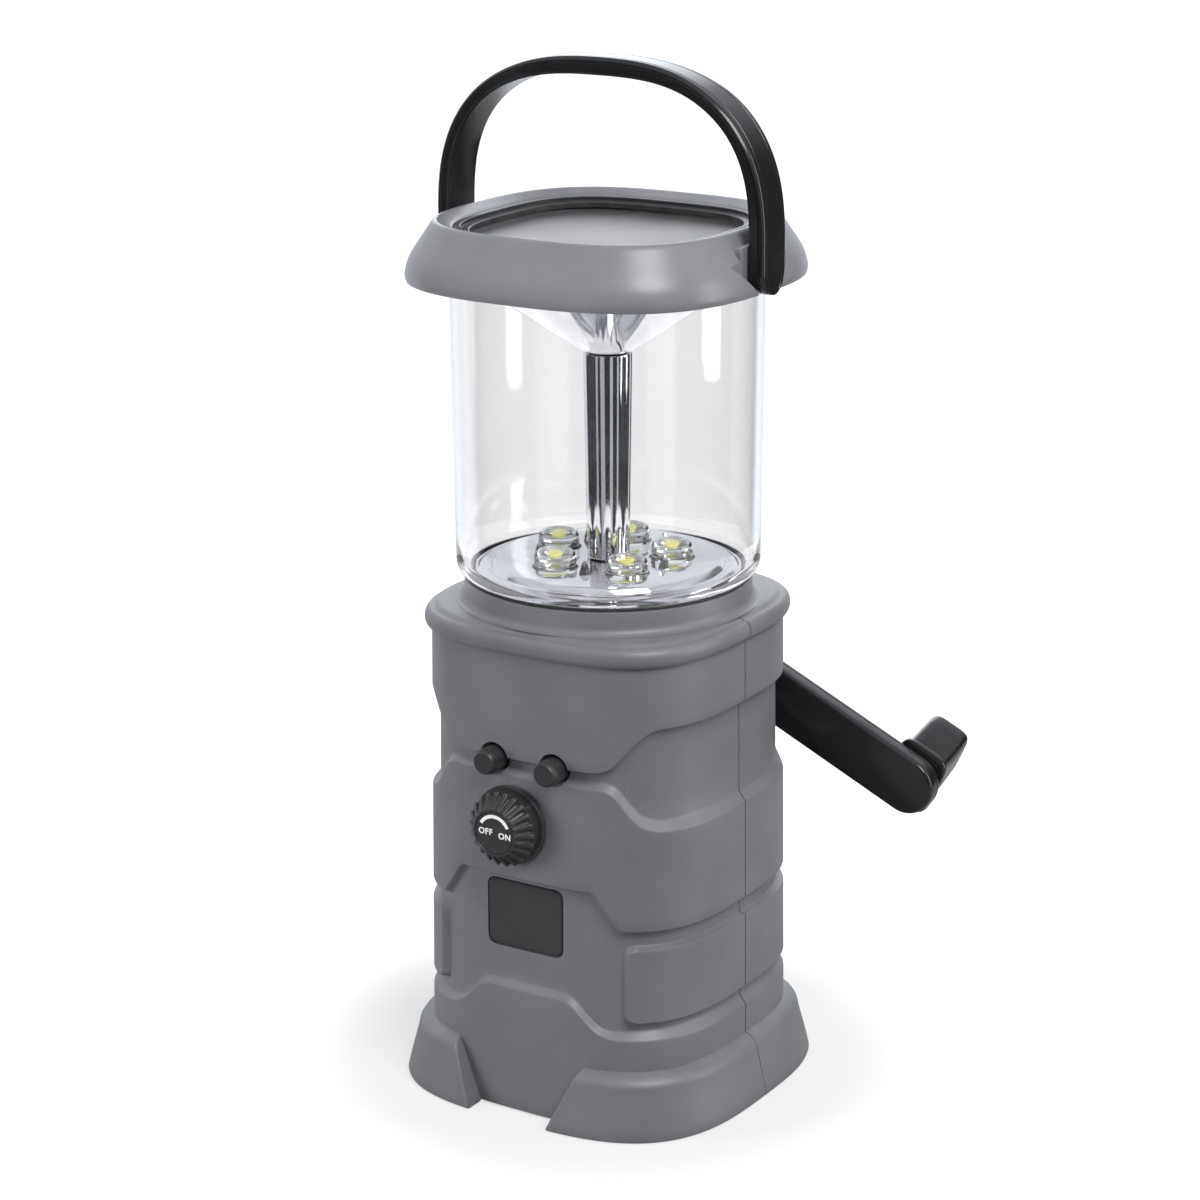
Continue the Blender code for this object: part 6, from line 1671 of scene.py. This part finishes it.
@dataclass
class Crank:
    """Flat crank arm with a raised face, and the block knob at its end."""

    finishes: Finishes
    hub_z: float = 90.4
    length: float = 60.8
    direction: float = math.radians(-24.8)
    low: float = 37.6
    knob_low: float = 43.4
    power: float = 5.0
    shaft_bore: float = 3.3
    pin_bore: float = 1.8
    bore_gap: float = 0.3
    arc_steps: int = 30
    arm_shape: tuple[Point, ...] = (
        (0.0, 5.85), (0.06, 6.05), (0.2, 6.3), (0.45, 6.5), (0.8, 6.6), (1.2, 6.62), (3.0, 6.62),
        (3.15, 6.58), (3.22, 6.42), (3.35, 6.34), (3.55, 6.34), (3.7, 6.4), (4.6, 6.36), (5.0, 6.2),
        (5.3, 5.95), (5.45, 5.65), (5.5, 5.3))
    knob_shape: tuple[tuple[float, ...], ...] = (
        (0.0, 5.9, 7.2, -0.92, 0.2), (0.15, 6.2, 7.5, -0.92, 0.2), (0.4, 6.3, 7.6, -0.92, 0.2),
        (1.2, 6.3, 7.6, -0.92, 0.2), (1.45, 6.2, 7.5, -0.92, 0.2), (1.6, 5.95, 7.25, -0.92, 0.2),
        (1.65, 5.5, 6.8, -0.8, 0.25), (1.9, 5.45, 6.75, -0.85, 0.4), (6.0, 5.45, 6.45, -1.2, 1.75),
        (10.0, 5.35, 6.15, -1.6, 3.0), (13.2, 5.2, 5.85, -1.92, 3.95), (13.7, 5.1, 5.75, -1.92, 4.0),
        (14.1, 4.95, 5.5, -1.92, 4.0), (14.33, 4.55, 5.1, -1.92, 4.0), (14.4, 4.1, 4.65, -1.92, 4.0))

    def arm_outline(self, radius: float) -> list[Point]:
        """Capsule round the hub and the knob's end, along X."""
        points = []
        for centre, start in ((self.length, -90.0), (0.0, 90.0)):
            for index in range(self.arc_steps + 1):
                angle = math.radians(start + 180.0 * index / self.arc_steps)
                points.append((centre + radius * math.cos(angle), radius * math.sin(angle)))
        return points

    def arm(self) -> None:
        """The arm: rounded edges with a thin bead along each face."""
        rings = []
        for rise, radius in self.arm_shape:
            outline = np.array(self.arm_outline(radius))
            rings.append(np.column_stack([outline, np.full(len(outline), self.low + rise)]))
        arm = loft("crank_lever", np.array(rings))
        shaft_end, pin_start = corners("crank_shaft")[1].y, corners("knob_pin")[0].y
        combine(arm, [bore("shaft_bore", self.shaft_bore, 30.0, shaft_end + self.bore_gap),
                      bore("pin_bore", self.pin_bore, pin_start - self.bore_gap, FAR, STILL,
                           (self.length, 0, 0), PIN_STEPS)], Cut.TAKE)
        self.swing_out(arm)
        settle(arm, self.finishes.gloss, "crank", ("crank_arm",))

    def swing_out(self, piece: bpy.types.Object) -> None:
        """Turns a piece drawn along X, facing up, to lie behind the body along the arm."""
        along = Vector((math.cos(self.direction), 0.0, math.sin(self.direction)))
        across = Vector((-math.sin(self.direction), 0.0, math.cos(self.direction)))
        turn = Matrix((
            (along.x, across.x, 0.0, 0.0),
            (0.0, 0.0, 1.0, 0.0),
            (along.z, across.z, 0.0, 0.0),
            (0.0, 0.0, 0.0, 1.0)))
        piece.data.transform(Matrix.Translation((0, 0, self.hub_z * MM)) @ turn)
        piece.data.flip_normals()
        piece.data.update()

    def knob(self) -> None:
        """The knob: a flange against the arm and a block grip that leans outwards."""
        unit = squared_unit(even_angles(self.power, 96), self.power)
        rings = []
        for rise, half_x, half_y, aside, up in self.knob_shape:
            x = unit[:, 0] * half_x + aside + self.length
            y = unit[:, 1] * half_y + up
            rings.append(np.column_stack([x, y, np.full(len(x), self.knob_low + rise)]))
        knob = loft("block_knob", np.array(rings))
        pin_end = corners("knob_pin")[1].y + self.bore_gap
        combine(knob, [bore("pin_bore", self.pin_bore, 40.0, pin_end, STILL, (self.length, 0, 0),
                            PIN_STEPS)], Cut.TAKE)
        self.swing_out(knob)
        settle(knob, self.finishes.gloss, "knob", ("crank_knob",))

    def build(self) -> None:
        """Models the arm and the knob."""
        self.arm()
        self.knob()


# The studio

@dataclass(frozen=True)
class SoftBox:
    """A soft light: where it stands, its size, its power in watts, and which rays see it."""

    name: str
    spot: tuple[float, float, float]
    size: tuple[float, float]
    power: float
    aim: tuple[float, float, float] = (0.0, 0.0, 0.11)
    colour: Colour = (1.0, 1.0, 1.0)
    in_mirrors: bool = True
    through_glass: bool = True

    def stand(self) -> None:
        """Adds the light to the scene."""
        data = bpy.data.lights.new(self.name, "AREA")
        data.shape = "RECTANGLE"
        data.size, data.size_y = self.size
        data.energy, data.color = self.power, self.colour
        light = bpy.data.objects.new(self.name, data)
        light.location = self.spot
        light.rotation_euler = (Vector(self.aim) - Vector(self.spot)).to_track_quat("-Z", "Y").to_euler()
        light.visible_glossy, light.visible_transmission = self.in_mirrors, self.through_glass
        bpy.context.scene.collection.objects.link(light)


COOL: Colour = (0.9, 0.95, 1.0)


@dataclass
class Studio:
    """Pale floor, soft lights, a white background and the camera."""

    yaw: float = math.radians(32.2)
    pitch: float = math.radians(16.68)
    distance: float = 0.7184
    aside: float = 0.0019
    roll: float = math.radians(-0.25)
    target: float = 0.110
    lens: float = 97.3
    sensor: float = 36.0
    floor_radius: float = 8.0
    near_floor: float = 0.42
    shade_reach: float = 0.095
    floor_near: float = 0.6
    fill: float = 0.3
    dark: float = 0.05
    shade_start: float = 0.05
    pale: float = 0.3
    ceiling: tuple[float, float, float] = (0.25, 0.55, 0.9)
    ground: tuple[float, float, float] = (-0.7, -0.4, 0.8)
    box_blur: float = 5.0
    boxes: tuple[tuple[float, float, float], ...] = (
        (-100.0, 10.0, 0.7), (-18.0, 8.0, 0.8), (135.0, 48.0, 1.15))
    lights: tuple[SoftBox, ...] = (
        SoftBox("key_box", (0.67, -0.38, 1.0), (0.55, 0.55), 11.5),
        SoftBox("left_box", (-0.76, -0.74, 0.2), (0.45, 0.8), 10.0, in_mirrors=False,
                through_glass=False),
        SoftBox("right_box", (0.95, 0.4, 0.3), (0.3, 0.8), 4.6),
        SoftBox("back_box", (-0.66, 1.05, 0.57), (0.9, 0.6), 3.6, (0.0, 0.0, 0.19), COOL,
                through_glass=False))

    def floor(self) -> None:
        """Pale floor that keeps the object's shadow; far off, reflections see past it."""
        clear_selection()
        bpy.ops.mesh.primitive_circle_add(vertices=96, radius=self.floor_radius, fill_type="NGON",
                                          location=HERE)
        floor = bpy.context.object
        floor.name = "studio_floor"
        material = bpy.data.materials.new("pale_floor")
        material.use_nodes = True
        sheet = Sheet(material.node_tree)
        path = sheet.add("ShaderNodeLightPath")
        place = sheet.add("ShaderNodeTexCoord").outputs["Object"]
        away = sheet.add("ShaderNodeVectorMath", operation="LENGTH")
        sheet.feed(away.inputs[0], place)
        pale = sheet.add("ShaderNodeBsdfDiffuse", Color=(self.pale,) * 3)
        plain = sheet.sums("MAXIMUM", path.outputs["Is Camera Ray"], path.outputs["Is Transmission Ray"])
        added = sheet.ramp(away.outputs["Value"], self.shade_start, self.shade_reach,
                           self.floor_near, 1.0)
        strength = sheet.sums("MULTIPLY", plain, added)
        seen = sheet.add("ShaderNodeEmission", Color=(1.0, 1.0, 1.0), Strength=strength)
        lit = sheet.add("ShaderNodeAddShader")
        sheet.feed(lit.inputs[0], pale.outputs[0])
        sheet.feed(lit.inputs[1], seen.outputs[0])
        beyond = sheet.sums("MULTIPLY", path.outputs["Is Glossy Ray"],
                            sheet.sums("GREATER_THAN", away.outputs["Value"], self.near_floor))
        through = sheet.add("ShaderNodeBsdfTransparent")
        mixed = sheet.add("ShaderNodeMixShader", Fac=beyond)
        sheet.feed(mixed.inputs[1], lit.outputs[0])
        sheet.feed(mixed.inputs[2], through.outputs[0])
        sheet.feed(sheet.add("ShaderNodeOutputMaterial").inputs["Surface"], mixed.outputs[0])
        floor.data.materials.append(material)

    def surround(self) -> None:
        """White background; reflections see soft boxes with darker gaps between them."""
        world = bpy.data.worlds.new("studio")
        world.use_nodes = True
        bpy.context.scene.world = world
        sheet = Sheet(world.node_tree)
        path = sheet.add("ShaderNodeLightPath")
        direction = sheet.add("ShaderNodeTexCoord").outputs["Generated"]
        split = sheet.add("ShaderNodeSeparateXYZ", Vector=direction)
        turn = sheet.sums("ARCTAN2", split.outputs["Y"], split.outputs["X"])
        low, high, level = self.ceiling
        up = sheet.ramp(split.outputs["Z"], low, high, self.dark, level)
        low, high, level = self.ground
        down = sheet.ramp(split.outputs["Z"], low, high, level, self.dark)
        glow = sheet.sums("MAXIMUM", up, down)
        for place, half, level in self.boxes:
            near = sheet.sums("COSINE", sheet.sums("SUBTRACT", turn, math.radians(place)))
            start, end = (math.cos(math.radians(angle)) for angle in (half + self.box_blur, half))
            box = sheet.ramp(near, start, end, 0.0, level)
            glow = sheet.sums("MAXIMUM", glow, box)
        mirrored = sheet.sums("GREATER_THAN", path.outputs["Glossy Depth"], 0.5)
        plain = sheet.sums("MAXIMUM", path.outputs["Is Camera Ray"], path.outputs["Is Transmission Ray"])
        plain = sheet.sums("MULTIPLY", plain, sheet.sums("SUBTRACT", 1.0, mirrored))
        bounced = sheet.sums("MAXIMUM", path.outputs["Is Glossy Ray"], mirrored)
        glossy = sheet.sums("MULTIPLY", bounced, glow)
        diffuse = sheet.sums("MULTIPLY", path.outputs["Is Diffuse Ray"], self.fill)
        strength = sheet.sums("ADD", sheet.sums("MAXIMUM", plain, glossy), diffuse)
        tint = sheet.mix(plain, COOL, (1.0, 1.0, 1.0))
        ground = sheet.add("ShaderNodeBackground", Color=tint, Strength=strength)
        sheet.feed(sheet.add("ShaderNodeOutputWorld").inputs["Surface"], ground.outputs[0])

    def camera(self) -> None:
        """Camera at the photograph's viewing angle."""
        data = bpy.data.cameras.new("camera")
        data.lens, data.sensor_width = self.lens, self.sensor
        camera = bpy.data.objects.new("camera", data)
        right = Vector((math.cos(self.yaw), math.sin(self.yaw), 0.0))
        level = Vector((-math.sin(self.yaw), math.cos(self.yaw), 0.0))
        ahead = level * math.cos(self.pitch) - Vector((0, 0, 1)) * math.sin(self.pitch)
        camera.location = Vector((0, 0, self.target)) - ahead * self.distance - right * self.aside
        facing = ahead.to_track_quat("-Z", "Y").to_matrix().to_4x4()
        camera.rotation_euler = (facing @ Matrix.Rotation(self.roll, 4, "Z")).to_euler()
        bpy.context.scene.collection.objects.link(camera)
        bpy.context.scene.camera = camera

    def build(self) -> None:
        """Sets up the floor, the lights, the background and the camera."""
        bpy.context.scene.view_settings.view_transform = "Standard"
        self.floor()
        self.surround()
        for box in self.lights:
            box.stand()
        self.camera()


def main() -> None:
    """Builds the lantern's looks in order, then the studio round it."""
    logging.basicConfig(level=logging.INFO, format="%(name)s %(message)s")
    finishes = Finishes()
    finishes.dress_nodes()
    for part in (Body(finishes), LampHouse(finishes), Cap(finishes), Handle(finishes), Controls(finishes),
                 Crank(finishes)):
        part.build()
        log.info("%s is built", type(part).__name__)
    Studio().build()
    clear_selection()


if __name__ == "__main__":
    main()
